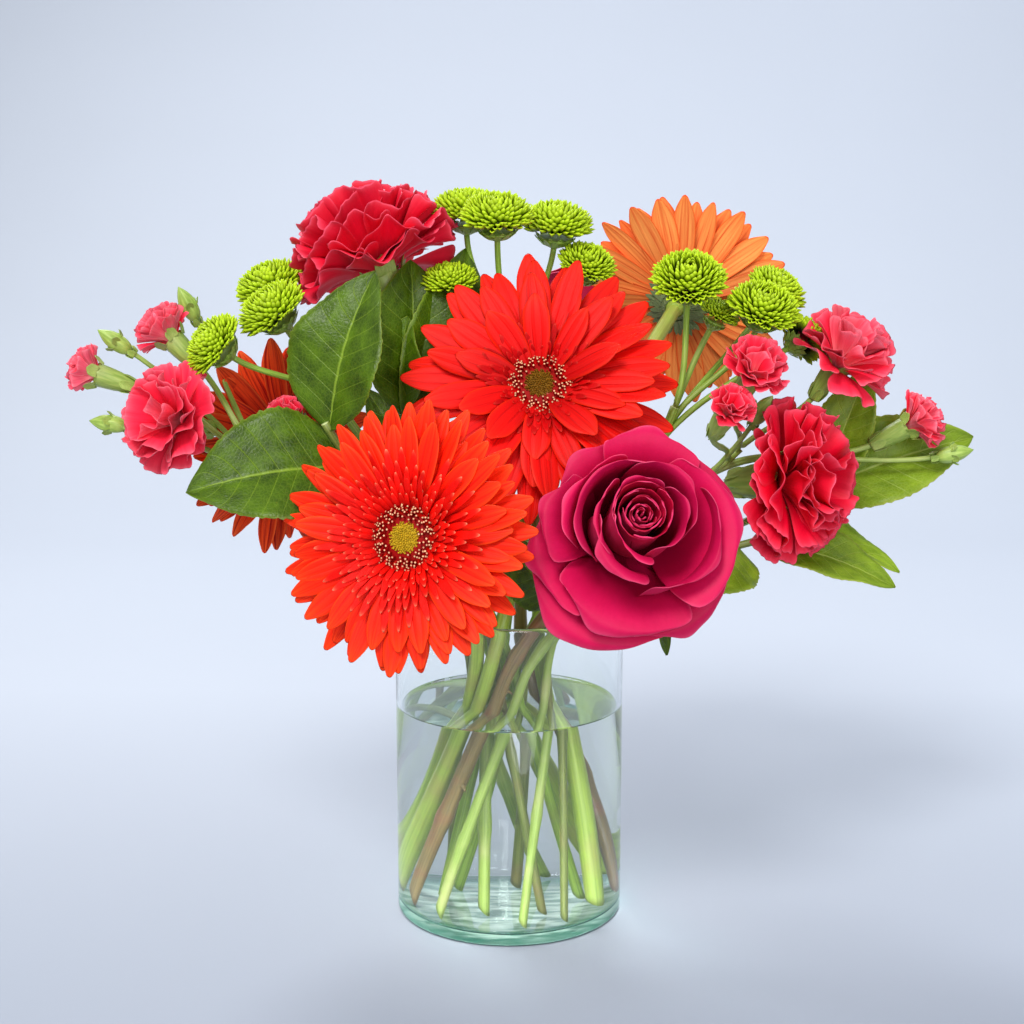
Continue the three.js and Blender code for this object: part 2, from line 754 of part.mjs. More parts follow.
Object.entries(SPRAY_CARNATIONS).forEach(([place, spray], i) => {
  const { stalk, path } = sprayStem(spray);
  const parts = [stalk];
  spray.blooms.forEach((flower, j) => {
    const looks = direction(flower.looks);
    const at = behind(new THREE.Vector3(...flower.at), looks, flower.radius * DEPTH.sprayCarnation);
    const bloom = frilledBloom(SPRAY_PROFILE, flower.radius, 12, 50 + 10 * i + j);
    addBloom(`spray_carnation_${place}_bloom_${j + 1}`, bloom, "sprayCarnation", at, looks);
    parts.push(aimed(calyx(CALYX.small), at, looks));
    parts.push(sideStem(path, j, behind(at, looks, STEM_END.sprayCarnation), looks, SIDE_STEM_RADIUS.bloom));
  });
  spray.buds.forEach((flower, j) => {
    const looks = direction(flower.looks);
    const at = new THREE.Vector3(...flower.at);
    const neck = behind(at, looks, STEM_END.bud);
    parts.push(aimed(bud(BUD.radius, BUD.length), at, looks));
    parts.push(sideStem(path, spray.blooms.length + j, neck, looks, SIDE_STEM_RADIUS.bud));
  });
  add(`spray_carnation_${place}_stem`, fused(parts), "stem");
});

Object.entries(POMPONS).forEach(([place, spray]) => {
  const { stalk, path } = sprayStem(spray);
  const parts = [stalk];
  spray.heads.forEach((head, j) => {
    const looks = direction(head.looks);
    const at = behind(new THREE.Vector3(...head.at), looks, head.radius * DEPTH.pompon);
    addBloom(`pompon_${place}_head_${j + 1}`, pomponHead(head.radius), "pompon", at, looks);
    parts.push(aimed(pomponCup(head.radius), at, looks));
    parts.push(sideStem(path, j, behind(at, looks, STEM_END.pompon), looks, SIDE_STEM_RADIUS.bloom));
  });
  add(`pompon_${place}_stem`, fused(parts), "stem");
});

Object.entries(LEAFY_STEMS).forEach(([place, sprig]) => {
  const top = new THREE.Vector3(...sprig.top);
  const looks = direction(sprig.looks);
  const stalk = stemTube(sprig, top, looks, STEM_RADIUS.leafy, 6, 8);
  const path = stemPath(sprig, top, looks, STEM_RADIUS.leafy);
  const leaves = sprig.leaves.map((blank) => leaf(path.getPointAt(blank.share), blank));
  add(`leafy_stem_${place}`, fused([stalk, ...leaves]), sprig.colour, { roughness: 0.4 });
});

add("vase", glassVase(), "glass", { roughness: 0.05, opacity: 0.35 });
add("water", vaseWater(), "water", { roughness: 0.05, opacity: 0.4 });

export default bouquet;
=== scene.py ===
# %% [markdown]
# # A bouquet in a glass vase
#
# Four gerberas, two roses, carnations, sprays of button mums and a few leafy stems stand in a straight
# glass cylinder, two thirds full of water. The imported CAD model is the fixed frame: every finished
# piece sits where its solid sits, and adds what a solid can't show, such as thin petals, veins and
# frills.

import math
import random

import bmesh
import bpy
from mathutils import Matrix, Vector
from mathutils.geometry import interpolate_bezier


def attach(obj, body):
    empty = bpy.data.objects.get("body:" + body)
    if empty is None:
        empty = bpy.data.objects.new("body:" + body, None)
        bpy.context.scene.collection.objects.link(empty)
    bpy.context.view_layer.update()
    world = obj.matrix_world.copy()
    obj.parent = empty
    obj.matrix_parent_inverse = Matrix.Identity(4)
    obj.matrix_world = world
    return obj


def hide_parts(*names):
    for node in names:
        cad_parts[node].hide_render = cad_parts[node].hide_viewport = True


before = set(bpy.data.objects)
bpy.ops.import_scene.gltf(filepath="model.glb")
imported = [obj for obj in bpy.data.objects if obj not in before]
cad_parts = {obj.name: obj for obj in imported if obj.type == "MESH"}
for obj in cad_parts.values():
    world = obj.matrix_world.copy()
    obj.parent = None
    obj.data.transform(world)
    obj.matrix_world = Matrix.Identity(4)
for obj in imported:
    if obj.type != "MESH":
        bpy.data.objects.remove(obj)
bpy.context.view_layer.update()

# %% [markdown]
# ## The camera
#
# The picture is taken from a little above the rim of the vase, with the lens of a short telephoto.
# A camera looks along its own -Z, so a quarter turn about X makes it look ahead, and a bit less than
# a quarter turn makes it look slightly down.

# %% Camera
camera_data = bpy.data.cameras.new("camera")
camera_data.lens = 57.62
camera_data.sensor_width = 36.0
camera = bpy.data.objects.new("camera", camera_data)
camera.location = (0.0013, -0.714, 0.300)
camera.rotation_euler = (math.pi / 2 - 0.165, 0.0, 0.0)
bpy.context.scene.collection.objects.link(camera)
bpy.context.scene.camera = camera
print("camera at", tuple(camera.location))

# %% [markdown]
# ## Places and directions
#
# Shapes are made in millimetres, as a florist would measure them, and become metres at the end. The
# bouquet is round, so places are given by a bearing from the front, a radius and a height. A bloom
# looks towards a bearing and a rise above the horizon.

# %% Places and directions
MM = 0.001
UP = Vector((0, 0, 1))


def polar(bearing, radius, height):
    angle = math.radians(bearing)
    return Vector((radius * math.sin(angle), -radius * math.cos(angle), height))


def direction(bearing, rise):
    slope = math.radians(rise)
    return polar(bearing, math.cos(slope), math.sin(slope))


def standing(at, looks):
    turn = UP.rotation_difference(looks)
    return Matrix.Translation(at) @ turn.to_matrix().to_4x4()


print("the front is", direction(0, 0))

# %% [markdown]
# ## Sheets
#
# Petals, bracts and leaves are all thin sheets. One could draw each by hand, or cut them from a
# subdivided plane. Here each is a flat grid from `create_grid`, whose corners are then moved by a
# formula of two numbers: u runs from -1 to 1 across the sheet, and v from 0 at its root to 1 at its
# tip. The grid keeps its UV map, so that streaks and veins can follow the petal later. Each sheet also
# carries a tone of its own, because no two petals have quite the same colour.

# %% Sheets
def blank():
    bm = bmesh.new()
    bm.loops.layers.uv.new("pattern")
    bm.verts.layers.float.new("tone")
    return bm


def sheet(bm, across, along, place, tone=0.5, pose=Matrix(), coat=0):
    grid = bmesh.ops.create_grid(bm, x_segments=across, y_segments=along, size=1.0, calc_uvs=True)
    tones = bm.verts.layers.float["tone"]
    for corner in grid["verts"]:
        u = corner.co.x
        v = (corner.co.y + 1) / 2
        corner[tones] = tone
        corner.co = pose @ place(u, v)
        for face in corner.link_faces:
            face.material_index = coat
    return grid["verts"]


def smooth(start, stop, value):
    share = min(1.0, max(0.0, (value - start) / (stop - start)))
    return share * share * (3 - 2 * share)


print("smooth halfway", smooth(0, 1, 0.5))

# %% [markdown]
# A closed shape such as a stem or a calyx is a sheet too: its left and right edges are rolled round
# until they meet, merged, and both open ends are filled. The profile of a turned shape is a smooth
# curve through a few points, each with its radius and its height.

# %% Rolled sheets
def close_up(bm, corners, cap=0):
    bmesh.ops.remove_doubles(bm, verts=corners, dist=0.002)
    corners = [corner for corner in corners if corner.is_valid]
    rims = {edge for corner in corners for edge in corner.link_edges if edge.is_boundary}
    for face in bmesh.ops.holes_fill(bm, edges=list(rims), sides=0)["faces"]:
        face.material_index = cap
    faces = {face for corner in corners for face in corner.link_faces}
    bmesh.ops.recalc_face_normals(bm, faces=list(faces))
    return corners


def through(points, share):
    last = len(points) - 1
    step = min(last - 1, int(share * last))
    t = share * last - step
    a = Vector(points[max(0, step - 1)])
    b = Vector(points[step])
    c = Vector(points[step + 1])
    d = Vector(points[min(last, step + 2)])
    bent = (2 * a - 5 * b + 4 * c - d) * t * t + (3 * b - a - 3 * c + d) * t ** 3
    return b + 0.5 * ((c - a) * t + bent)


def turned(bm, profile, sides, steps, tone=0.5, pose=Matrix(), flute=0.0, flutes=0):
    def place(u, v):
        radius, height = through(profile, v)
        angle = math.pi * u
        radius *= 1 + flute * math.cos(flutes * angle)
        return Vector((radius * math.cos(angle), radius * math.sin(angle), height))

    return close_up(bm, sheet(bm, sides, steps, place, tone, pose))


print("a point on a curve", through([(0, 0), (1, 2), (3, 3)], 0.5))

# %% [markdown]
# Tiny florets come in hundreds, so one is made and then stamped: `duplicate` copies it inside the
# same mesh, and a transform moves the copy to its place.

# %% Stamps
def parts_of(corners):
    edges = {edge for corner in corners for edge in corner.link_edges}
    faces = {face for corner in corners for face in corner.link_faces}
    return list(corners) + list(edges) + list(faces)


def stamp(bm, template, pose, tone):
    tones = bm.verts.layers.float["tone"]
    copy = bmesh.ops.duplicate(bm, geom=template)["geom"]
    corners = [item for item in copy if isinstance(item, bmesh.types.BMVert)]
    bmesh.ops.transform(bm, matrix=pose, verts=corners)
    for corner in corners:
        corner[tones] = tone


def drop(bm, template):
    corners = [item for item in template if isinstance(item, bmesh.types.BMVert)]
    bmesh.ops.delete(bm, geom=corners, context="VERTS")


print("stamps ready")

# %% [markdown]
# ## Finished pieces
#
# A finished piece becomes a mesh object at the origin, rides on the vase's only body and stands for a
# CAD node. Sheets get their thickness from Solidify, whose far shell can take a second material for
# the paler back of a petal, and Subdivision Surface rounds them.

# %% Finished pieces
def finished(name, bm, node, finishes, thickness=0.0, rounds=0):
    bmesh.ops.scale(bm, vec=(MM, MM, MM), verts=bm.verts)
    for face in bm.faces:
        face.smooth = True
    mesh = bpy.data.meshes.new(name)
    bm.to_mesh(mesh)
    bm.free()
    for finish in finishes:
        mesh.materials.append(finish)
    piece = bpy.data.objects.new(name, mesh)
    bpy.context.scene.collection.objects.link(piece)
    if thickness:
        wall = piece.modifiers.new("thickness", "SOLIDIFY")
        wall.thickness = thickness * MM
        wall.offset = -1.0
        wall.material_offset = min(1, len(finishes) - 1)
        wall.material_offset_rim = 0
    if rounds:
        rounding = piece.modifiers.new("rounding", "SUBSURF")
        rounding.levels = rounds
        rounding.render_levels = rounds
    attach(piece, "root")
    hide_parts(node)
    print(name, len(mesh.polygons), "faces")


print("a millimetre is", MM, "m")

# %% [markdown]
# ## Shader sums
#
# A material is a graph of nodes. Written by hand it takes a line for every node and every link, so a
# small class wraps a socket and lets Python's own signs add the Math nodes. All other nodes come from
# one method, which sets the settings first and the sockets after that.

# %% Sums on sockets
class Value:
    def __init__(self, finish, socket):
        self.finish = finish
        self.socket = socket

    def math(self, operation, first, second=0.0):
        return self.finish.node("ShaderNodeMath", {"operation": operation}, {0: first, 1: second})

    def __add__(self, other):
        return self.math("ADD", self, other)

    def __radd__(self, other):
        return self.math("ADD", other, self)

    def __sub__(self, other):
        return self.math("SUBTRACT", self, other)

    def __rsub__(self, other):
        return self.math("SUBTRACT", other, self)

    def __mul__(self, other):
        return self.math("MULTIPLY", self, other)

    def __rmul__(self, other):
        return self.math("MULTIPLY", other, self)

    def __pow__(self, other):
        return self.math("POWER", self, other)

    def __abs__(self):
        return self.math("ABSOLUTE", self)

    def sine(self):
        return self.math("SINE", self)

    def clamped(self):
        return self.finish.node("ShaderNodeClamp", {}, {"Value": self})


print("a Value adds, multiplies and raises sockets")

# %% [markdown]
# ## Colours and finishes
#
# Colours are written as a paint card gives them, from 0 to 255, and a shader wants them as light, so
# `colour` undoes the screen's curve and `mix` calls it for every paint it is given. A finish holds one
# material. Its `pattern` gives a sheet's own u, v and tone, and `grain` is noise along these. The
# `ground` gives x and y in Object coordinates, and `speckle` is noise in them.

# %% Colours
def colour(red, green, blue):
    def linear(value):
        value /= 255
        return value / 12.92 if value <= 0.04045 else ((value + 0.055) / 1.055) ** 2.4

    return (linear(red), linear(green), linear(blue), 1.0)


print("a petal red", colour(240, 27, 19))


# %% Finishes
class Finish:
    def __init__(self, name):
        self.material = bpy.data.materials.new(name)
        self.material.use_nodes = True
        self.tree = self.material.node_tree
        self.tree.nodes.clear()

    def node(self, kind, settings, inputs, out=0):
        made = self.tree.nodes.new(kind)
        for setting, choice in settings.items():
            setattr(made, setting, choice)
        for key, given in inputs.items():
            if isinstance(given, Value):
                self.tree.links.new(given.socket, made.inputs[key])
            else:
                made.inputs[key].default_value = given
        return Value(self, made.outputs[out]) if made.outputs else None

    def mix(self, factor, first, second):
        first, second = [colour(*side) if isinstance(side, tuple) else side for side in (first, second)]
        return self.node("ShaderNodeMix", {"data_type": "RGBA"}, {0: factor, 6: first, 7: second}, 2)

    def apart(self, place):
        return [self.node("ShaderNodeSeparateXYZ", {}, {0: place}, side) for side in (0, 1)]

    def pattern(self):
        x, y = self.apart(self.node("ShaderNodeUVMap", {"uv_map": "pattern"}, {}))
        tone = self.node("ShaderNodeAttribute", {"attribute_name": "tone"}, {}, "Fac")
        return x * 2 - 1, y, tone

    def ground(self):
        return self.apart(self.node("ShaderNodeTexCoord", {}, {}, "Object"))

    def grain(self, x, y, z, detail=3.0):
        place = self.node("ShaderNodeCombineXYZ", {}, {0: x, 1: y, 2: z})
        return self.node("ShaderNodeTexNoise", {}, {"Vector": place, "Scale": 1.0, "Detail": detail}, "Fac")

    def speckle(self, scale, detail=4.0):
        place = self.node("ShaderNodeTexCoord", {}, {}, "Object")
        return self.node("ShaderNodeTexNoise", {}, {"Vector": place, "Scale": scale, "Detail": detail}, "Fac")

    def lit(self, colour, value):
        return self.node("ShaderNodeHueSaturation", {}, {"Value": value, "Color": colour})

    def bump(self, height, strength, distance):
        sockets = {"Strength": strength, "Distance": distance * MM, "Height": height}
        return self.node("ShaderNodeBump", {}, sockets)

    def surface(self, **sockets):
        named = {key.replace("_", " "): given for key, given in sockets.items()}
        shader = self.node("ShaderNodeBsdfPrincipled", {}, named)
        self.node("ShaderNodeOutputMaterial", {}, {"Surface": shader})
        return self.material


print("a Finish makes one material")

# %% [markdown]
# ## Petal finish
#
# A fresh petal is satin rather than shiny. Fine streaks run from its root to its tip. Its edges are
# lighter, partly because the tissue is thinnest there and partly as a painted highlight on the rims and
# tips. The root is darker and deeper in colour, partly its own colour and partly painted shade of the
# crevices where petals crowd. An image would need painting, so the streaks are noise that is stretched
# along v, and the same noise lifts the bump.
# A ray petal has two thin veins as well. The four paints are those of the root, the middle, the edge
# and the streaks.

# %% Petal finish
def petal_finish(name, root, middle, edge, streak, streaks=7.0, depth=0.35, rough=0.5, sheen=0.06,
                 sides=0.6, tip=0.4, sharp=8, veins=0.0):
    finish = Finish(name)
    u, v, tone = finish.pattern()
    lines = finish.grain(u * streaks, v * 1.3, tone * 37)
    cells = finish.grain(u * 26, v * 22, tone * 11)
    # Partly painted shade: the darker root paint stands for the crevices where petals crowd.
    body = finish.mix((v * 1.5).clamped(), root, middle)
    # Partly painted highlight: the lighter edge paint on rims and tips, besides the paler thin tissue.
    rim = (abs(u) ** 9 * sides + v ** sharp * tip).clamped()
    with_rim_highlight = finish.mix(rim, body, edge)
    vein = (1 - abs(abs(u) - 0.34) * 12).clamped() * (1.1 - v) * veins
    marked = finish.mix(((lines - 0.5) * 3.2 * depth + 0.18 + vein).clamped(), with_rim_highlight, streak)
    painted = finish.lit(marked, tone * 0.3 + 0.84 + (cells - 0.5) * 0.12)
    relief = lines * 0.8 + cells * 0.2
    return finish.surface(
        Base_Color=painted,
        Roughness=(cells * 0.16 + rough - 0.08),
        Sheen_Weight=sheen,
        Sheen_Roughness=0.5,
        Sheen_Tint=colour(*middle),
        Specular_IOR_Level=0.14,
        Normal=finish.bump(relief - vein, 0.6, 0.4),
    )


print("petal finish ready")

# %% [markdown]
# ## Stem finish
#
# A stem is satin green with fine lengthwise fibres and lighter and browner patches. The fibres follow
# the sheet's own u and v, because the stem bends and a pattern in space would run across it. The
# patches are wider than the stem is thick, so for them a pattern in space will do. Each flower has
# its own green, and the cut end shows pale pith.

# %% Stem finish
def stem_finish(name, light, dark, patch, rough=0.42):
    finish = Finish(name)
    u, v, tone = finish.pattern()
    fibres = finish.grain(u * 11, v * 5, tone * 23)
    patches = finish.speckle(55.0)
    body = finish.mix(((fibres - 0.35) * 2.6).clamped(), dark, light)
    aged = finish.mix(((patches - 0.5) * 3.0).clamped(), body, patch)
    painted = finish.lit(aged, tone * 0.3 + 0.85)
    return finish.surface(
        Base_Color=painted,
        Roughness=(fibres * 0.2 + rough - 0.1),
        Specular_IOR_Level=0.45,
        Normal=finish.bump(fibres, 0.5, 0.4),
    )


gerbera_green = stem_finish("gerbera_stem_green", (178, 202, 84), (134, 164, 52), (160, 150, 84))
rose_green = stem_finish("rose_stem_green", (150, 128, 78), (108, 94, 52), (146, 78, 62), 0.35)
carnation_green = stem_finish("carnation_stem_green", (166, 190, 92), (128, 156, 62), (176, 180, 116))
mum_green = stem_finish("mum_stem_green", (164, 198, 74), (112, 146, 44), (140, 140, 70))
leafy_green = stem_finish("leafy_stem_green", (142, 150, 74), (98, 116, 44), (140, 116, 76))
cup_green = stem_finish("gerbera_cup_green", (132, 148, 96), (84, 104, 60), (120, 112, 84), 0.6)
pith = stem_finish("cut_stem_pith", (214, 222, 160), (190, 204, 130), (200, 200, 150), 0.6)
print("stem finishes", len(bpy.data.materials))

# %% [markdown]
# ## The run of a stem
#
# Florists turn the stems in their hand, so that they cross at the neck of the vase and spread again
# at its foot. Here they lean in two rings, which twist opposite ways, so that none meets another: a
# ring is its radius at the waist, its radius at the foot, and the way it twists. Each stem is straight
# through the water, and then bends towards its bloom. A Bezier curve does the bend, and `Route` walks
# along the points by length, so that a leaf can sit at a share of it.

# %% The run of a stem
WAIST_HEIGHT = 108
VASE_FLOOR = 4.5
OUTER_RING = (17.5, 41, 1)
INNER_RING = (7.5, 24, -1)


class Route:
    def __init__(self, points):
        self.points = points
        self.reached = [0.0]
        for here, there in zip(points, points[1:]):
            self.reached.append(self.reached[-1] + (there - here).length)

    def at(self, share):
        goal = share * self.reached[-1]
        step = 1
        while step < len(self.points) - 1 and self.reached[step] < goal:
            step += 1
        here = self.points[step - 1]
        there = self.points[step]
        span = self.reached[step] - self.reached[step - 1]
        point = here.lerp(there, (goal - self.reached[step - 1]) / span)
        return point, (there - here).normalized()


def stem_route(end, looks, ring, waist, reach, radius):
    waist_radius, foot_radius, twist = ring
    swing = math.degrees(math.acos(waist_radius / foot_radius)) * twist
    crossing = polar(waist, waist_radius, WAIST_HEIGHT)
    foot = polar(waist - swing, foot_radius, VASE_FLOOR)
    up = (crossing - foot).normalized()
    slant = math.sqrt(1 - up.z ** 2)
    start = foot + up * ((0.3 + radius * slant) / up.z)
    straight = [start.lerp(crossing, step / 14) for step in range(14)]
    bent = interpolate_bezier(crossing, crossing + up * reach[0], end - looks * reach[1], end, 32)
    return Route(straight + bent)


print("stem ends", stem_route(Vector((0, 0, 200)), UP, OUTER_RING, 0, (40, 40), 3).at(1)[0])

# %% [markdown]
# A curve with a round bevel makes a stem in one step, but it leaves no room for knots, ribs or a
# slanted cut. So a stem is one more rolled sheet, whose rings follow the route. Each ring takes over
# the sideways direction of the last one, which keeps the tube from twisting. The foot may swell, as it
# does in water, and its first three rings lean over into the slanted cut of a florist's knife. A side
# stem leaves its stem near the top, and is a thinner tube along a bend of its own.

# %% A stem
STALK_STEPS = 70
SIDE_STEPS = 24
CUT_RINGS = 3
SWOLLEN_SHARE = 0.34


def tube(bm, route, radius, sides, steps, tone=0.5, knots=(), ribs=0, rib=0.0, swollen=0.0):
    rings = []
    side = route.at(0)[1].orthogonal()
    for step in range(steps + 1):
        point, heading = route.at(step / steps)
        side = (side - heading * side.dot(heading)).normalized()
        rings.append((point, side, heading.cross(side)))

    def place(u, v):
        point, side, other = rings[round(v * steps)]
        angle = math.pi * u
        swell = sum(0.22 * math.exp(-(((v - knot) * steps / 1.3) ** 2)) for knot in knots)
        foot = swollen * (1 - smooth(0, SWOLLEN_SHARE, v))
        reach = radius * (1 + swell + rib * math.cos(ribs * angle) + foot)
        around = side * math.cos(angle) + other * math.sin(angle)
        slant = radius * (1.1 + 1.1 * math.cos(angle + tone * 9) + 0.5 * swollen)
        cut = side.cross(other) * slant * max(0, 1 - v * steps / CUT_RINGS)
        return point + around * reach + cut

    return close_up(bm, sheet(bm, sides, steps, place, tone), 1)


def side_stem(stalk, route, order, end, looks, radius, tone, **more):
    start, heading = route.at(1 - 0.025 * order)
    reach = 0.35 * (end - start).length
    side = interpolate_bezier(start, start + heading * reach, end - looks * reach, end, 20)
    tube(stalk, Route(side), radius, 10, SIDE_STEPS, tone, **more)


print("tubes ready")

# %% [markdown]
# ## A ray petal
#
# A gerbera's ray is a long strap. It leaves the core at a slope, bends back along an arc, has two
# lengthwise folds, and ends in a rounded tip. Each is rolled a little about its own length, so that
# one edge lies over its neighbour, as the slats of a fan do. Sepals, teeth and scales are straps too,
# only shorter, more pointed and hollow instead of folded: they stand in an even whorl, and a ring of
# rays is a wilder one.

# %% A ray petal
def on_arc(length, rise, bend, v, root, height, lift=0.0, aside=0.0):
    start = math.radians(rise)
    turn = math.radians(bend)
    slope = start + turn * v
    out = length / turn * (math.sin(slope) - math.sin(start))
    up = length / turn * (math.cos(start) - math.cos(slope))
    return Vector((root + out - lift * math.sin(slope), aside, height + up + lift * math.cos(slope)))


CORE = 8
TAPER_FROM = 0.66


def strap(bm, turn, root, length, width, rise, bend, roll=0.0, twist=0.0, sway=0.0, height=0.0, fold=0.3,
          cup=0.0, blunt=0.5, neck=0.45, cells=(6, 9), tone=0.5, pose=Matrix(), coat=0):
    around = Matrix.Rotation(turn, 4, "Z")

    def place(u, v):
        swell = neck + (1 - neck) * math.sin(math.pi / 2 * min(1.0, v / 0.55))
        taper = max(0.0, (v - TAPER_FROM) / (1 - TAPER_FROM))
        half = width / 2 * swell * math.sqrt(1 - (1 - blunt * blunt) * taper ** 2.2)
        pull = 0.5 * width * blunt * u * u * smooth(0.5, 1.0, v) / length
        lift = fold * math.cos(3 * math.pi * u) * math.sin(math.pi * min(1, 0.12 + 0.8 * v)) ** 0.5
        lift += cup * half * u * u
        lean = math.radians(roll + twist * v)
        lift += u * half * math.sin(lean)
        aside = sway * length * v * v - u * half * math.cos(lean)
        return around @ on_arc(length, rise, bend, v - pull, root, height, lift, aside)

    return sheet(bm, cells[0], cells[1], place, tone, pose, coat)


def whorl(bm, dice, count, root, length, width, rise, bend, height, pose, shift=0.0, **more):
    for i in range(count):
        turn = (i + shift) * math.tau / count
        strap(bm, turn, root, length, width, rise, bend, height=height, tone=dice.random(), pose=pose, **more)


def ring_of(bm, dice, count, shift, root, length, width, rise, bend, pose, wild=1.0, **more):
    for i in range(count):
        turn = (i + shift + dice.uniform(-0.16, 0.16) * wild) * math.tau / count
        strap(
            bm, turn, root, length * dice.uniform(1 - 0.05 * wild, 1 + 0.03 * wild),
            width * dice.uniform(0.92, 1.08), rise + (2.5 if i % 2 else -1.5) + dice.uniform(-3, 3) * wild,
            bend + dice.uniform(-9, 9) * wild, roll=9 + dice.uniform(-6, 6) * wild,
            twist=dice.uniform(-16, 16) * wild, sway=dice.uniform(-0.05, 0.05) * wild,
            tone=dice.random(), pose=pose, **more,
        )


print("a ray ends at", on_arc(47, 13, -20, 1, CORE, 0))

# %% [markdown]
# ## Gerberas
#
# Each gerbera has rings of long rays, rings of short narrow ones that rise round the middle, a dense
# ring of dark tubular florets with cream tips, and an eye of closed olive buds. Florets and buds are
# set in the golden-angle spiral in which a real flower head grows. A ring of rays is given as its
# count, how far it reaches, how steeply it rises and how far it bends back.

# %% Gerbera heads
SHORT_CORE = 12.2
GOLDEN_ANGLE = math.radians(137.508)


def disc_floret(bm):
    profile = [(0.3, 0), (0.42, 1.6), (0.5, 3.2), (0.66, 4.3), (0.3, 4.5)]
    return parts_of(turned(bm, profile, 6, 6, flute=0.12, flutes=5))


def set_spiral(bm, dice, template, count, inner, outer, height, lean, size, pose):
    for i in range(count):
        share = math.sqrt((i + 0.5) / count)
        radius = inner + (outer - inner) * share
        angle = i * GOLDEN_ANGLE + dice.uniform(-0.1, 0.1)
        place = Matrix.Rotation(angle, 4, "Z") @ Matrix.Translation((radius, 0, height(radius)))
        tilt = Matrix.Rotation(math.radians(lean * share), 4, "Y")
        stretch = size * dice.uniform(0.85, 1.15)
        grow = Matrix.Diagonal((size, size, stretch, 1))
        stamp(bm, template, pose @ place @ tilt @ grow, dice.random())


def gerbera_head(place, at, looks, radius, width, rings, short_rings, finishes, eye, seed):
    dice = random.Random(seed)
    pose = standing(at, looks)
    bm = blank()
    for order, (count, reach, rise, bend) in enumerate(rings):
        length = (radius - CORE) * reach
        ring_of(bm, dice, count, 0.5 * order, CORE, length, width, rise, bend, pose,
                height=0.7 * order - 0.8, fold=0.42, blunt=0.34, neck=0.4)
    for order, (count, reach, rise, bend) in enumerate(short_rings):
        ring_of(bm, dice, count, 0.37 * order, SHORT_CORE, reach, 1.7 + 0.08 * reach, rise, bend, pose,
                wild=1.3, height=0.4 + 0.5 * order, fold=0.1, cells=(2, 5), blunt=0.3, neck=0.6, cup=0.3,
                coat=2)
    finished(f"gerbera_{place}_petals", bm, f"gerbera_{place}_rays", finishes, 0.4, 1)

    bm = blank()
    turned(bm, [(0.1, -2.4), (8, -2.4), (11.5, -1.2), (11.4, 0.6), (7.5, 2.2), (0.1, 3.0)], 32, 12, pose=pose)
    template = disc_floret(bm)
    set_spiral(bm, dice, template, 250, 6.4, 12.6, lambda r: 0.7 - 0.02 * (r - 6) ** 2, 32, 0.9, pose)
    drop(bm, template)
    finished(f"gerbera_{place}_florets", bm, f"gerbera_{place}_rays", [dark_florets])

    bm = blank()
    profile = [(0.1, -1.0), (0.5, 0), (0.55, 0.7), (0.3, 1.3), (0.05, 1.5)]
    template = parts_of(turned(bm, profile, 6, 4))
    set_spiral(bm, dice, template, 170, 0.0, 6.3, lambda r: 3.4 - 0.03 * r * r, 10, 0.75, pose)
    drop(bm, template)
    turned(bm, [(0.1, 0), (6.6, 0.2), (6.3, 2.0), (3.5, 3.2), (0.1, 3.5)], 24, 8, pose=pose)
    finished(f"gerbera_{place}_buds", bm, f"gerbera_{place}_eye", [eye])


print("gerbera heads are defined")

# %% [markdown]
# The cup under a gerbera is a cone of narrow, pointed, softly hairy bracts in three rows, which grips
# the core from behind. Its stem is round, finely grooved and leafless.

# %% Gerbera cup and stem
def gerbera_stalk(place, at, looks, ring, waist, reach, seed):
    dice = random.Random(seed)
    pose = standing(at, looks)
    bm = blank()
    route = stem_route(at - looks * 12, looks, ring, waist, reach, 3.2)
    tube(bm, route, 3.2, 18, STALK_STEPS, 0.5, ribs=9, rib=0.03, swollen=0.42)
    cup = [(3.1, -16), (3.9, -13.5), (6.5, -10), (9.2, -6), (10.4, -3.1), (0.2, -3.0)]
    turned(bm, cup, 28, 10, 0.3, pose)
    finished(f"gerbera_{place}_stalk", bm, f"gerbera_{place}_stem", [gerbera_green, pith])

    bm = blank()
    for order, (root, height, length, rise, bend) in enumerate([
        (4.0, -13.4, 10.5, 62, -28), (6.4, -10.6, 11, 58, -40), (8.6, -7.6, 9.5, 55, -52),
    ]):
        for i in range(20):
            turn = (i + 0.5 * order + dice.uniform(-0.15, 0.15)) * math.tau / 20
            strap(bm, turn, root, length * dice.uniform(0.85, 1.1), 2.6, rise + dice.uniform(-5, 5), bend,
                  height=height, fold=0.0, cup=-0.3, blunt=0.12, neck=0.9, cells=(2, 5),
                  tone=dice.random(), pose=pose)
    finished(f"gerbera_{place}_bracts", bm, f"gerbera_{place}_stem", [cup_green], 0.35, 1)


print("gerbera stalks are defined")

# %% [markdown]
# The florets and buds in the middle go from a dark root to a pale tip. They are turned shapes, so v
# runs up each of them, and the tips get their own colour whatever way the floret leans.

# %% Centre finishes
def floret_finish(name, dark, tip, start):
    finish = Finish(name)
    u, v, tone = finish.pattern()
    fuzz = finish.speckle(900.0)
    top = ((v - start) * 4 + (fuzz - 0.5)).clamped()
    painted = finish.lit(finish.mix(top, dark, tip), tone * 0.5 + 0.75)
    return finish.surface(
        Base_Color=painted,
        Roughness=0.55 + fuzz * 0.2,
        Specular_IOR_Level=0.15,
        Normal=finish.bump(fuzz, 0.4, 0.3),
    )


dark_florets = floret_finish("gerbera_dark_florets", (150, 4, 4), (255, 226, 172), 0.86)
olive_buds = floret_finish("gerbera_olive_buds", (110, 84, 6), (190, 156, 30), 0.2)
brown_buds = floret_finish("gerbera_brown_buds", (60, 30, 2), (124, 84, 12), 0.3)
print("centre finishes", len(bpy.data.materials))

# %% [markdown]
# The four gerberas are orange-red, red, salmon and rust. The back of a petal is paler than its face
# and more streaked, which shows on the two that look away, and the short rays round the eye end in a
# pale point. All of it is the same finish with other paints.

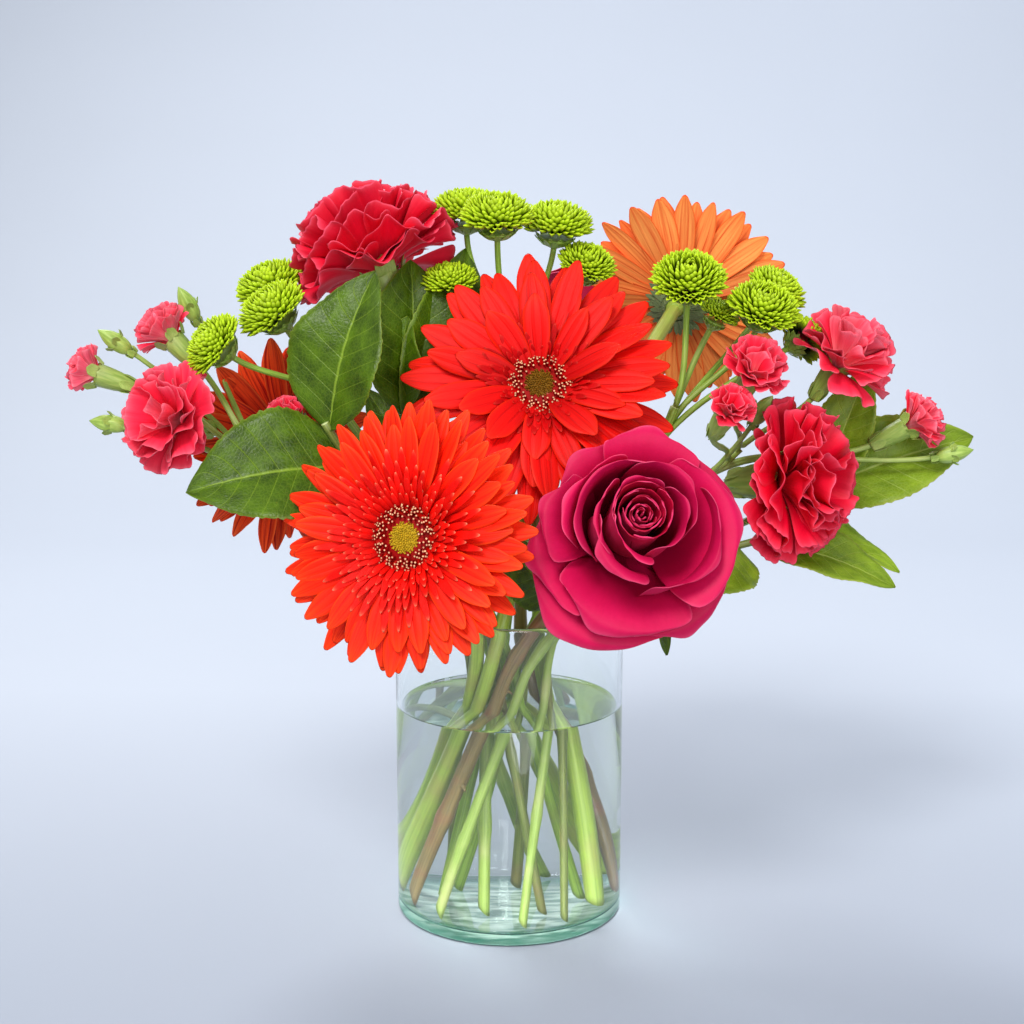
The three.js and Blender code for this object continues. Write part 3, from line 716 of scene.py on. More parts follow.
# %% Gerbera petal finishes
low_face = petal_finish(
    "petal_orange_red", (206, 6, 2), (246, 30, 4), (255, 100, 26), (208, 8, 2), depth=0.8, veins=1.0,
)
low_back = petal_finish(
    "petal_orange_red_back", (240, 110, 60), (250, 120, 66), (255, 150, 90), (236, 80, 34), depth=0.5,
    veins=0.4,
)
low_short = petal_finish(
    "petal_orange_red_short", (186, 0, 2), (238, 14, 2), (255, 200, 150), (204, 0, 2), sides=0.0,
    tip=0.8, sharp=36,
)
high_face = petal_finish(
    "petal_red", (182, 0, 2), (232, 8, 4), (250, 64, 20), (186, 0, 2), depth=0.8, veins=1.0,
)
high_back = petal_finish(
    "petal_red_back", (216, 50, 30), (232, 60, 34), (250, 96, 48), (200, 20, 12), depth=0.5, veins=0.4,
)
high_short = petal_finish(
    "petal_red_short", (130, 0, 2), (194, 0, 4), (244, 80, 60), (160, 0, 2), sides=0.2, tip=0.6, sharp=20,
)
salmon_face = petal_finish(
    "petal_salmon_face", (206, 14, 4), (240, 64, 14), (250, 120, 46), (216, 30, 8), depth=0.5, veins=0.5,
)
salmon_back = petal_finish(
    "petal_salmon_back", (240, 120, 56), (252, 156, 82), (246, 92, 26), (220, 70, 26), streaks=4.0,
    depth=0.7, veins=0.9,
)
rust_face = petal_finish(
    "petal_rust_face", (200, 4, 4), (232, 24, 8), (248, 90, 30), (206, 8, 6), depth=0.5, veins=0.5,
)
rust_back = petal_finish(
    "petal_rust_back", (222, 30, 8), (240, 66, 22), (252, 130, 66), (156, 0, 2), streaks=4.0, depth=1.2,
    veins=1.4,
)
print("petal finishes", len(bpy.data.materials))

# %% [markdown]
# The low gerbera is a double one, with five rows of short rays. The high one has fewer and broader
# petals. The two at the back look away from the camera and show their cups. A bloom is given by its
# place, the way it looks, its size, and how its stem runs: the ring, the bearing at the waist, and the
# reach of both ends of the bend.

# %% Four gerberas
def gerbera(place, at, looks, radius, width, ring, waist, reach, rings, short_rings, finishes, eye,
            seed):
    at = Vector(at)
    looks = direction(*looks)
    gerbera_head(place, at, looks, radius, width, rings, short_rings, finishes, eye, seed)
    gerbera_stalk(place, at, looks, ring, waist, reach, seed + 50)


gerbera(
    "low", (-40, -80, 184), (-20, 13), 55, 9.6, OUTER_RING, -62, (38, 40),
    [(30, 1.0, 9, -15), (29, 0.95, 15, -19), (27, 0.84, 22, -23)],
    [(30, 26, 28, -16), (40, 20, 36, -14), (42, 15, 44, -20), (40, 11, 52, -24), (36, 8, 60, -26)],
    [low_face, low_back, low_short, low_back], olive_buds, 11,
)
gerbera(
    "high", (13, -22, 239), (-3, 28), 60.5, 12.6, OUTER_RING, -35, (45, 45),
    [(19, 1.0, 8, -18), (18, 0.94, 15, -22), (15, 0.8, 23, -26), (10, 0.6, 33, -28)],
    [(30, 17, 38, -18), (30, 13, 46, -22), (28, 9, 54, -22), (26, 6.5, 62, -20)],
    [high_face, high_back, high_short, high_back], brown_buds, 12,
)
gerbera(
    "back", (79, 53, 272), (165, 15), 51, 11.5, OUTER_RING, 124, (60, 45),
    [(22, 1.0, 12, -19), (21, 0.92, 22, -22)],
    [(32, 12, 46, -24), (30, 8, 58, -24)],
    [salmon_face, salmon_back, salmon_face, salmon_back], olive_buds, 13,
)
gerbera(
    "left", (-101, 25, 208), (-138, 5), 50, 10.6, OUTER_RING, -160, (45, 45),
    [(24, 1.0, 12, -19), (22, 0.92, 22, -22)],
    [(32, 12, 46, -24), (30, 8, 58, -24)],
    [rust_face, rust_back, rust_face, rust_back], olive_buds, 14,
)

# %% [markdown]
# ## Roses
#
# A rose is a nest of cups: each petal starts at the hip, bellies out, rises to a rim and rolls over
# there. One could sculpt it, but its rims are what the eye reads, so each petal is given by them: its
# bearing, how far it wraps, its rim's distance from the middle at both ends and in between, its
# height, and how far its lip rolls. A rim that is nearer at one end than at the other makes the
# spiral. Its section from the hip to the lip is a list of four numbers a point: how far out and how
# far up, as shares, and how much of the roll goes out and up.

# %% Rose petals
CUP = [
    (0.08, 0.01, 0, 0), (0.62, 0.1, 0, 0), (0.86, 0.34, 0, 0), (0.92, 0.58, 0, 0), (0.93, 0.78, 0, 0),
    (0.95, 0.92, 0, 0), (1, 0.99, 0.1, 0), (1, 1, 0.6, 0.12), (1, 1, 1, -0.3),
]
GUARD = [
    (0.06, 0.01, 0, 0), (0.3, 0.08, 0, 0), (0.5, 0.36, 0, 0), (0.66, 0.7, 0, 0), (0.84, 0.93, 0, 0),
    (1, 1, -0.4, 0), (1, 1, 0.4, -0.05), (1, 1, 0.8, -0.7),
]


def rose_petal(bm, form, bearing, wrap, rims, height, lip, dice, pose, sink=0.6, coat=0):
    around = Matrix.Rotation(math.radians(bearing), 4, "Z")
    first, middle, last = rims
    waves = dice.uniform(0, 6)

    def place(u, v):
        spread = wrap * (0.45 + 0.55 * math.sin(math.pi / 2 * min(1, v * 1.25)))
        rim = middle - (last - first) / 2 * u + ((first + last) / 2 - middle) * u * u
        reach = v * (1 - sink + sink * math.sqrt(max(0, 1 - abs(u) ** 2.2)))
        out, up, rolled, risen = through(form, reach)
        roll = lip * (0.8 + 0.3 * math.sin(waves + 3.5 * u)) * (1 - u * u)
        out = out * middle + (rim - middle) * smooth(0.2, 1, reach) + rolled * roll
        out += (0.5 * math.sin(waves + 7 * u) + 0.25 * math.sin(2 * waves + 19 * u)) * v ** 6
        out += 0.9 * lip * math.exp(-((5 * (u - 0.25 * math.sin(waves))) ** 2)) * v ** 9
        up = up * height + risen * roll + 0.6 * math.sin(waves * 2 + 6 * u) * v ** 3
        angle = math.radians(-spread * u)
        return around @ Vector((out * math.cos(angle), out * math.sin(angle), up))

    return sheet(bm, 22, 14, place, dice.random(), pose, coat)


print("a rose petal has", len(CUP), "points from hip to lip")

# %% [markdown]
# The heart is twelve petals that wrap almost the whole way round, each a golden angle from the last,
# as they grow. Round it stand nine cup petals, and outside these nine guard petals, wide open and
# rolled back, whose places are listed one by one for a half-open bloom.

# %% Rose bloom
PETAL_TURN = 137.5
OPEN_ROSE = 47


def rose_bloom(bm, size, dice, pose):
    pose = pose @ Matrix.Scale(size / OPEN_ROSE, 4)
    heart = pose @ Matrix.Rotation(math.radians(-5), 4, "X")
    for i in range(12):
        rim = 0.9 + 0.95 * i
        shift = Matrix.Translation((dice.uniform(-0.7, 0.7), dice.uniform(-0.7, 0.7), 0))
        rose_petal(bm, CUP, 40 + PETAL_TURN * i, 150 - 6 * i, (rim - 0.5, rim, rim + 1.1), 38 + 0.4 * i,
                   0.3, dice, heart @ shift, 0.15, 2)
    for bearing, wrap, rims, height, lip in [
        (130, 85, (14.5, 12.8, 11.8), 43, 0.6), (-10, 70, (14, 16.8, 12.5), 42.5, 1.3),
        (235, 57, (11.5, 14, 26), 42.5, 0.9), (232, 52, (13.7, 21, 33), 41.5, 3.6),
        (45, 65, (18.5, 21, 17.5), 41.5, 1.6), (150, 80, (18, 23.3, 31), 41, 1.2),
        (-25, 60, (27, 32, 23), 38.5, 1.6), (155, 55, (25, 26, 36), 37.5, 2.0),
        (182, 62, (16, 17.5, 25), 41.5, 1.0),
    ]:
        rose_petal(bm, CUP, bearing, wrap, rims, height, lip, dice, heart)
    for bearing, wrap, rims, height, lip in [
        (5, 65, (41, 37, 27), 35, 3.0), (262, 50, (35, 40, 43), 25, 3.6), (82, 38, (36, 37, 35), 27, 3.0),
        (177, 36, (29, 36, 35), 28, 2.6), (246, 58, (39, 46, 41), 14, 4.5), (310, 44, (41, 43, 41), 18, 3.5),
        (20, 48, (38, 39, 35), 25, 2.5), (205, 42, (34, 40, 42), 20, 3.5), (120, 44, (35, 35, 33), 20, 3.0),
    ]:
        rose_petal(bm, GUARD, bearing, wrap, rims, height, lip, dice, pose, 0.5)


# Painted shade: the dark root paints stand for the crevices between the cupped petals, and the heart's darker
# paints for its deep folds, where little light reaches.
rose_face = petal_finish(
    "rose_petal_face", (132, 2, 40), (198, 16, 76), (240, 92, 134), (182, 8, 60), streaks=5.0, depth=0.3,
    sheen=0.12, sides=0.0, tip=0.7, sharp=26,
)
rose_heart_shade = petal_finish(
    "rose_petal_heart_shade", (96, 0, 16), (166, 4, 44), (222, 50, 96), (136, 0, 28), streaks=5.0, depth=0.3,
    sides=0.0, tip=0.6, sharp=26,
)
rose_back = petal_finish(
    "rose_petal_back", (198, 66, 104), (212, 42, 94), (242, 116, 150), (196, 24, 78), streaks=5.0,
    depth=0.3, sheen=0.15, sides=0.0, tip=0.7, sharp=26,
)
print("rose finishes", rose_face.name, rose_back.name)

# %% [markdown]
# ## Leaves
#
# A leaf is one sheet folded a little along its midrib. Its edge has fine teeth, and between the side
# veins, which leave the midrib at a slant, the blade bulges up like quilting. The teeth and the
# quilting are in the mesh, and the finest net of veins is only in the bump.

# %% Leaf shape
VEINS = 9
SLANT = 1.6
TEETH = 26


def leaf(bm, start, tip, faces, width, tone=0.5):
    spine = Vector(tip) - start
    length = spine.length
    side = spine.cross(direction(*faces)).normalized()
    normal = side.cross(spine).normalized()

    def place(u, v):
        ragged = 1 + 0.05 * (2 * abs((v * TEETH) % 1 - 0.5) - 0.5) * abs(u) ** 6
        half = width / 2 * math.sin(math.pi * min(1, max(0, v)) ** 0.82) ** 0.8 * ragged + 0.5 * (1 - v)
        crown = 0.09 * length * math.sin(math.pi * v)
        quilt = abs(math.sin(math.pi * (v * VEINS - SLANT * abs(u)))) ** 0.6 * (1 - abs(u)) ** 0.5
        wave = 0.9 * math.sin(v * 17 + 1.5 * u) * abs(u) ** 2
        fold = 0.3 * half * abs(u) + wave + 0.55 * quilt * min(1, half / 8) - 0.5 * (1 - abs(u)) ** 8
        return start + spine * v + side * u * half + normal * (crown + fold)

    return sheet(bm, 14, 44, place, tone)


print("a leaf has", VEINS, "pairs of side veins")

# %% [markdown]
# The paler veins of the finish follow the same rule as the quilting, so they lie in its furrows. A
# cell pattern gives the finest net. A leaf has a thin wax coat, but its shine is soft.

# %% Leaf finish
def leaf_finish(name, dark, light, rib, edge, rough):
    finish = Finish(name)
    u, v, tone = finish.pattern()
    way = v * VEINS - abs(u) * SLANT
    side_veins = (1 - abs((way * math.pi).sine()) * 6).clamped() * (1 - abs(u) ** 3 * 0.7)
    midrib = (1 - abs(u) * 32 + (1 - v) * 0.4).clamped()
    patches = finish.grain(u * 3, v * 7, tone * 29)
    cells = finish.node("ShaderNodeCombineXYZ", {}, {0: u * 14, 1: v * 44, 2: tone * 31})
    sockets = {"Vector": cells, "Scale": 1.0}
    net = finish.node("ShaderNodeTexVoronoi", {"feature": "DISTANCE_TO_EDGE"}, sockets)
    blade = finish.mix(((patches - 0.3) * 2.2).clamped(), dark, light)
    veined = finish.mix((side_veins * 0.34 + (1 - net * 9).clamped() * 0.14).clamped(), blade, rib)
    ribbed = finish.mix(midrib * 0.7, veined, rib)
    edged = finish.mix((abs(u) ** 30 * 0.6).clamped(), ribbed, edge)
    relief = net * 0.8 - side_veins * 0.5 - midrib * 0.6
    return finish.surface(
        Base_Color=finish.lit(edged, tone * 0.4 + 0.8),
        Roughness=rough + patches * 0.16,
        Specular_IOR_Level=0.22,
        Coat_Weight=0.05,
        Coat_Roughness=0.2,
        Normal=finish.bump(relief, 0.6, 0.5),
    )


dark_leaf = leaf_finish("leaf_dark", (42, 64, 0), (80, 110, 4), (138, 164, 50), (124, 142, 44), 0.3)
light_leaf = leaf_finish("leaf_light", (94, 122, 8), (136, 164, 32), (178, 196, 92), (184, 192, 84), 0.38)
print("leaf finishes", dark_leaf.name, light_leaf.name)

# %% [markdown]
# A rose sits on a small round hip with five long sepals, which are bent back here. Its stem is ruddy,
# with a few flat thorns, and the front one carries two leaves. A leaf is given by its share of the
# stem, its tip, the way it faces and its width.

# %% Two roses
def thorn(bm, route, share, bearing, tone):
    point, heading = route.at(share)
    away = direction(bearing, 0)
    away = (away - heading * away.dot(heading)).normalized()
    root = standing(point + away * 2.6, (away * 0.9 - heading * 0.35).normalized())
    turned(bm, [(1.5, 0), (0.8, 1.4), (0.25, 3.0), (0.02, 4.2)], 8, 5, tone, root)


def rose(place, at, looks, size, ring, waist, reach, leaves, seed):
    dice = random.Random(seed)
    looks = direction(*looks)
    base = Vector(at) - looks * size * 0.5
    pose = standing(base, looks)
    bm = blank()
    rose_bloom(bm, size, dice, pose)
    finished(f"rose_{place}_petals", bm, f"rose_{place}_bloom",
             [rose_face, rose_back, rose_heart_shade, rose_back], 0.38, 1)

    bm = blank()
    route = stem_route(base - looks * 11, looks, ring, waist, reach, 3)
    tube(bm, route, 3, 16, STALK_STEPS, 0.5, knots=(0.22, 0.45, 0.6, 0.75, 0.93))
    turned(bm, [(3, -15), (4.6, -12.5), (6.6, -9), (7.6, -4.5), (6.8, -0.6), (0.2, -0.4)], 20, 10, 0.6, pose)
    for share, bearing in ((0.3, 30), (0.42, 200), (0.52, 100), (0.66, -60), (0.84, 150)):
        thorn(bm, route, share, bearing, dice.random())
    finished(f"rose_{place}_stalk", bm, f"rose_{place}_stem", [rose_green, pith])

    bm = blank()
    whorl(bm, dice, 5, 5, size * 0.62, 8, 4, -58, -4.5, pose, fold=0.1, blunt=0.1, neck=0.75, cup=0.15,
          cells=(4, 8))
    for share, tip, faces, width in leaves:
        leaf(bm, route.at(share)[0], tip, faces, width, dice.random())
    finished(f"rose_{place}_leaves", bm, f"rose_{place}_stem", [dark_leaf], 0.35)


rose("front", (50, -78, 188), (6, 18), 47, OUTER_RING, -8, (30, 30),
     [(0.75, (-4, -40, 178), (-12, 20), 26), (0.93, (66, -50, 129), (60, 20), 20)], 21)
rose("back", (30, 104, 264), (-172, 38), 33, OUTER_RING, 152, (50, 35), [], 22)

# %% [markdown]
# ## Carnations
#
# A carnation is a crowd of fan-shaped petals, each ruffled like a ribbon and pinked along its edge.
# The width of the fan grows faster than the circle it has to fit, which is what throws it into
# ruffles. Cloth simulation could do that, but slowly and for one petal at a time, so a wave across the
# sheet grows with the square of its height instead. The edge is cut in teeth by letting every second
# corner reach further.

# %% Carnation petals
def frill(bm, turn, root, length, width, rise, bend, ruffle, phase, cells, tone, pose, height=0.0):
    around = Matrix.Rotation(turn, 4, "Z")

    def place(u, v):
        half = width / 2 * (0.14 + 0.86 * smooth(0.0, 0.95, v))
        tooth = 1 + (0.035 if round((u + 1) / 2 * cells[0]) % 2 else -0.02) * smooth(0.85, 1, v)
        reach = v * tooth - 0.1 * u * u * v * v
        lift = ruffle * v * v * math.sin(phase + 4.6 * u)
        lift += 0.45 * ruffle * v ** 3 * math.sin(2 * phase + 9.5 * u)
        aside = 0.25 * ruffle * v * v * math.sin(phase * 3 + 6 * u) - half * u
        return around @ on_arc(length, rise, bend, reach, root, height, lift, aside)

    return sheet(bm, cells[0], cells[1], place, tone, pose)


def frilled_bloom(bm, size, count, top_rise, low_rise, cells, dice, pose, root=1.5, height=0.0):
    for i in range(count):
        share = (i + 0.5) / count
        length = size * (0.9 + 0.16 * (1 - share)) * dice.uniform(0.93, 1.05)
        rise = top_rise + (low_rise - top_rise) * share ** 0.8 + dice.uniform(-6, 6)
        turn = i * math.radians(PETAL_TURN) + dice.uniform(-0.2, 0.2)
        width = size * dice.uniform(0.8, 1.15)
        frill(bm, turn, root, length, width, rise + 16, -34 + dice.uniform(-12, 12), size * 0.1,
              dice.uniform(0, 6.3), cells, dice.random(), pose, height)


carnation_face = petal_finish(
    "carnation_face", (206, 0, 30), (234, 6, 50), (246, 104, 132), (204, 0, 26), streaks=9.0, depth=0.35,
    sides=0.25, tip=0.6, sharp=15,
)
carnation_back = petal_finish(
    "carnation_back", (216, 40, 60), (230, 20, 52), (248, 96, 116), (212, 6, 34), streaks=9.0,
    depth=0.35, sides=0.2, tip=0.5, sharp=20,
)
spray_face = petal_finish(
    "spray_carnation_face", (210, 10, 44), (240, 40, 72), (254, 130, 148), (220, 16, 50), streaks=9.0,
    depth=0.4, sides=0.3, tip=0.6, sharp=14,
)
spray_back = petal_finish(
    "spray_carnation_back", (250, 160, 160), (246, 96, 120), (254, 160, 172), (228, 50, 84),
    streaks=10.0, depth=0.6, sides=0.3, tip=0.5,
)
print("carnation finishes", carnation_face.name, spray_face.name)

# %% [markdown]
# A carnation's petals come out of a long green tube, the calyx, whose mouth ends in pointed teeth and
# whose foot sits in four small scales. A bud is the same tube still closed, with ribs that meet in a
# point.

# %% Calyx and bud
def calyx(bm, radius, length, sides, tone, pose):
    profile = [
        (radius * 0.42, -length), (radius * 0.6, -length * 0.88), (radius * 0.88, -length * 0.5),
        (radius, -length * 0.1), (radius * 1.02, 0), (radius * 0.7, -0.4), (0.2, -0.6),
    ]
    turned(bm, profile, sides, 12, tone, pose, 0.035, sides // 2)


def calyx_teeth(bm, radius, length, dice, pose):
    whorl(bm, dice, 5, radius * 0.95, radius * 1.15, radius * 1.15, 66, -20, -0.8, pose,
          fold=0.0, cup=-0.25, blunt=0.08, neck=1.0, cells=(4, 5))
    whorl(bm, dice, 4, radius * 0.42, length * 0.42, radius * 0.9, 74, 8, -length * 0.98, pose,
          fold=0.0, cup=-0.3, blunt=0.1, neck=0.9, cells=(4, 5))


def bud(bm, at, looks, radius, length, tone):
    profile = [
        (radius * 0.3, -length / 2), (radius * 0.8, -length * 0.36), (radius, -length * 0.1),
        (radius * 0.86, length * 0.16), (radius * 0.45, length * 0.36), (0.1, length * 0.5),
    ]
    turned(bm, profile, 20, 12, tone, standing(at, looks), 0.05, 5)


print("calyx and bud are defined")

# %% [markdown]
# Two large carnations. The left one looks up and is wider and taller than it is deep, and the right
# one is squeezed between its neighbours, so each bloom is scaled about its own foot. A carnation's stem
# has swollen knots, where its leaves stood.

# %% Two carnations
def carnation(place, at, looks, size, ring, waist, reach, spread, seed):
    dice = random.Random(seed)
    looks = direction(*looks)
    base = Vector(at) - looks * size * 0.55
    pose = standing(base, looks)
    bm = blank()
    frilled_bloom(bm, size, 38, 82, -2, (20, 7), dice, pose, 2.5, 0.6)
    bmesh.ops.scale(bm, vec=spread, verts=bm.verts, space=Matrix.Translation(-base))
    finished(f"carnation_{place}_petals", bm, f"carnation_{place}_bloom",
             [carnation_face, carnation_back], 0.35, 1)

    bm = blank()
    route = stem_route(base - looks * 20, looks, ring, waist, reach, 2.2)
    tube(bm, route, 2.2, 14, STALK_STEPS, 0.5, knots=(0.15, 0.35, 0.52, 0.7, 0.86))
    calyx(bm, 8.6, 25, 24, 0.25, pose)
    finished(f"carnation_{place}_stalk", bm, f"carnation_{place}_stem", [carnation_green, pith])
    bm = blank()
    calyx_teeth(bm, 8.6, 25, dice, pose)
    finished(f"carnation_{place}_scales", bm, f"carnation_{place}_stem", [carnation_green], 0.35, 1)


carnation("left", (-63.5, 21, 300), (-112, 64), 34, INNER_RING, -95, (60, 40), (1.12, 1.0, 1.16), 31)
carnation("right", (133, -19, 199), (53, 8), 36, OUTER_RING, 19, (26, 22), (0.86, 1.0, 1.0), 32)

# %% [markdown]
# A spray carries small blooms and buds on side stems, which leave the main stem one below the other.
# The smaller a bloom is, the less it has opened: its count of petals and the slope of the outer ones
# follow its size.

# %% Spray carnations
def spray_carnation(place, fork, looks, waist, reach, blooms, buds, seed):
    dice = random.Random(seed)
    looks = direction(*looks)
    fork = Vector(fork)
    node = f"spray_carnation_{place}_stem"
    route = stem_route(fork, looks, OUTER_RING, waist, reach, 1.9)
    stalk = blank()
    scales = blank()
    tube(stalk, route, 1.9, 12, STALK_STEPS, 0.5, knots=(0.2, 0.42, 0.62, 0.8, 0.9))
    for order, (at, faces, size) in enumerate(blooms):
        faces = direction(*faces)
        base = Vector(at) - faces * size * 0.6
        pose = standing(base, faces)
        bm = blank()
        openness = min(1, max(0, (size - 10) / 12))
        frilled_bloom(bm, size * 1.15, 16 + round(8 * openness), 88, 46 - 42 * openness, (16, 6), dice,
                      pose, 1.2, -1)
        finished(f"spray_carnation_{place}_petals_{order + 1}", bm,
                 f"spray_carnation_{place}_bloom_{order + 1}",
                 [spray_face, spray_back], 0.3, 1)
        calyx(stalk, 4.9, 18, 20, dice.random(), pose)
        calyx_teeth(scales, 4.9, 18, dice, pose)
        side_stem(stalk, route, order, base - faces * 14, faces, 1.3, 0.4, knots=(0.5,))
    for order, (at, faces) in enumerate(buds):
        faces = direction(*faces)
        at = Vector(at)
        bud(stalk, at, faces, 3.8, 17, 0.8)
        calyx_teeth(scales, 3.4, 10, dice, standing(at - faces * 1, faces))
        side_stem(stalk, route, len(blooms) + order, at - faces * 6, faces, 1.1, 0.4, knots=(0.55,))
    finished(f"spray_carnation_{place}_stalk", stalk, node, [carnation_green, pith])
    finished(f"spray_carnation_{place}_scales", scales, node, [carnation_green], 0.3, 1)


spray_carnation(
    "left", (-104, -26, 203), (-92, 40), -128, (45, 45),
    [((-186, 0, 244), (-92, 18), 12), ((-147, -28, 228), (-40, 20), 22),
     ((-151, -2, 263), (-100, 45), 14), ((-96, -21, 226), (-40, 35), 11)],
    [((-141, 10, 272), (-60, 62)), ((-173, 7, 256), (-80, 35)), ((-174, -6, 221), (-95, 8))], 41,
)
spray_carnation(
    "right", (104, 19, 207), (88, 45), 72, (55, 45),
    [((149.5, -0.5, 256), (60, 55), 22), ((105, -27.5, 249.5), (30, 50), 15),
     ((93, -37, 233), (20, 40), 11.5), ((184, 9, 222), (78, 30), 14)],
    [((198, 9, 206), (85, 12)), ((110, -6, 227), (40, 50))], 42,
)

# %% [markdown]
# ## Button mums
#
# A button mum is a tight dome of some two hundred blunt, incurved florets. They are stamped in the
# golden-angle spiral over a dome: short and upright at the top, longer and flatter below. They are so
# many that each is a strap of eight faces, thickened but not rounded.

# %% Mum florets
def mum_floret(bm):
    corners = strap(bm, 0.0, 0.0, 1.0, 0.36, 0, 62, fold=0.0, cup=0.7, blunt=0.6, neck=0.7, cells=(2, 4))
    return parts_of(corners)


def mum_head(place, order, at, looks, size, dice):
    base = Vector(at) - looks * size * 0.45
    pose = standing(base, looks)
    bm = blank()
    template = mum_floret(bm)
    count = round(110 + 9 * size)
    for i in range(count):
        share = math.sqrt((i + 0.5) / count)
        slope = math.radians(8 + 104 * share)
        out = 0.48 * size * math.sin(slope)
        up = size * (0.34 + 0.28 * math.cos(slope))
        stem = Matrix.Rotation(i * GOLDEN_ANGLE, 4, "Z") @ Matrix.Translation((out, 0, up))
        lean = Matrix.Rotation(slope - math.pi / 2 + math.radians(dice.uniform(-7, 7)), 4, "Y")
        reach = size * (0.34 + 0.28 * share) * dice.uniform(0.88, 1.08)
        grow = Matrix.Diagonal((reach, size * 0.4, reach, 1))
        stamp(bm, template, pose @ stem @ lean @ grow, dice.random())
    drop(bm, template)
    finished(f"pompon_{place}_florets_{order}", bm, f"pompon_{place}_head_{order}",
             [lime_petal], 0.35)
    return base, pose


print("mum heads are defined")

# %% [markdown]
# The florets are lime at the tip, and a deep green towards their roots is painted shade, where little light
# comes between them.

# %% Mum finish
def lime_finish(name):
    finish = Finish(name)
    u, v, tone = finish.pattern()
    lines = finish.grain(u * 3, v * 2, tone * 19)
    # Painted shade: deep green at the floret roots.
    fresh = finish.mix((v * 1.6 - 0.3).clamped(), (44, 64, 0), (132, 162, 2))
    tipped = finish.mix(((v - 0.6) * 2.4).clamped(), fresh, (186, 214, 30))
    return finish.surface(
        Base_Color=finish.lit(tipped, tone * 0.35 + 0.8),
        Roughness=0.42 + lines * 0.2,
        Specular_IOR_Level=0.25,
        Normal=finish.bump(lines, 0.4, 0.3),
    )


lime_petal = lime_finish("mum_lime_petal")
print("mum finish", lime_petal.name)

# %% [markdown]
# Each head sits on a shallow green saucer with two rows of scales, and its side stem leaves the ribbed
# main stem near the top.

# %% Mum sprays
PUFFED = 1.06


def mum_spray(place, fork, looks, ring, waist, reach, heads, seed):
    dice = random.Random(seed)
    fork = Vector(fork)
    looks = direction(*looks)
    node = f"pompon_{place}_stem"
    route = stem_route(fork, looks, ring, waist, reach, 1.9)
    stalk = blank()
    scales = blank()
    tube(stalk, route, 1.9, 16, STALK_STEPS, 0.5, knots=(0.3, 0.55, 0.75), ribs=5, rib=0.07)
    for order, (at, faces, size) in enumerate(heads):
        faces = direction(*faces)
        base, pose = mum_head(place, order + 1, at, faces, size * PUFFED, dice)
        mouth = size * 0.52
        turned(stalk, [(1.4, -5.2), (mouth * 0.6, -3.6), (mouth, -0.8), (mouth * 0.8, -0.3), (0.2, -0.2)],
               18, 9, dice.random(), pose)
        for row in range(2):
            whorl(scales, dice, 12, mouth * 0.6, mouth * 0.8, mouth * 0.42, 46, -12, row - 3.6, pose,
                  0.5 * row, fold=0.0, cup=-0.2, blunt=0.3, neck=0.9, cells=(2, 3))
        side_stem(stalk, route, order, base - faces * 4, faces, 1.3, 0.5, ribs=5, rib=0.06)
    finished(f"pompon_{place}_stalk", stalk, node, [mum_green, pith])
    finished(f"pompon_{place}_scales", scales, node, [mum_green], 0.3, 1)


mum_spray("centre", (-1, 16, 246), (0, 88), INNER_RING, -150, (45, 45),
          [((-19, 31, 314), (0, 80), 15), ((-5, 3, 311), (0, 70), 15), ((21, 19, 308), (20, 75), 15),
           ((34.5, 14, 290), (30, 60), 12.5), ((-26, 12, 283), (-20, 75), 12)], 51)
mum_spray("right", (72, -4, 228), (60, 70), INNER_RING, 150, (45, 45),
          [((77, -8, 284), (0, 55), 15.5), ((92, 4, 269), (60, 60), 9), ((109, -10, 272), (20, 58), 15),
           ((119, 16, 279), (60, 55), 13), ((130, 10.5, 257), (120, 25), 11)], 52)
mum_spray("left", (-80, -4, 238), (-80, 60), INNER_RING, 20, (50, 45),
          [((-107, 22, 281), (-50, 62), 15), ((-102, -7, 271), (-55, 52), 15),
           ((-125, -22, 257), (-60, 35), 13.5)], 53)

# %% [markdown]
# ## Leafy stems
#
# Four twigs of broad leaves fill the gaps between the blooms: two dark ones on the left and in the
# middle, and two lighter ones on the right. They are the leaf and the stem again, with other lengths.

# %% Leafy stems
def leafy_stem(place, top, looks, ring, waist, reach, leaves, finish, seed):
    dice = random.Random(seed)
    looks = direction(*looks)
    route = stem_route(Vector(top), looks, ring, waist, reach, 1.7)
    node = f"leafy_stem_{place}"
    bm = blank()
    tube(bm, route, 1.7, 12, STALK_STEPS, 0.5, knots=(0.3, 0.6, 0.8, 0.9))
    finished(f"leafy_{place}_stalk", bm, node, [leafy_green, pith])
    bm = blank()
    for share, tip, faces, width in leaves:
        leaf(bm, route.at(share)[0], tip, faces, width, dice.random())
    finished(f"leafy_{place}_leaves", bm, node, [finish], 0.35)


leafy_stem("left", (-76, -40, 225), (-60, 60), OUTER_RING, -95, (45, 40),
           [(0.985, (-55, -34, 287), (-25, 25), 45), (0.91, (-132, -52, 198), (-15, 28), 50)],
           dark_leaf, 61)
leafy_stem("middle", (-47, 3, 230), (-60, 75), INNER_RING, -40, (50, 40),
           [(0.985, (-44, 1, 267), (-30, 10), 26), (0.8, (-66, 40, 232), (-160, 20), 30),
            (0.95, (-19, 33, 296), (30, 10), 40), (0.97, (-43, 14, 291), (20, 8), 46)],
           dark_leaf, 62)
leafy_stem("right", (147, 28, 190), (85, 30), OUTER_RING, 98, (40, 50),
           [(0.985, (163, 27, 244), (-10, 25), 27), (0.96, (212, 30, 211), (10, 32), 40),
            (0.84, (176, 10, 152), (20, 65), 24)], light_leaf, 63)
leafy_stem("front", (113, 3, 168.5), (82, 18), INNER_RING, 104, (42, 40),
           [(0.985, (171, -4, 148), (0, 45), 24), (0.95, (76, -36, 154), (20, 25), 34)],
           light_leaf, 64)

# %% [markdown]
# ## Vase and water
#
# The vase is a straight cylinder with a fire-polished rim and a thick foot, in which clear glass
# looks green. Its profile is spun about the axis, and the start and the end of the spin are merged.
# The faces under the foot, which stand on the table, take the second finish.

# %% Spun walls
UNDERSIDE = 0.7


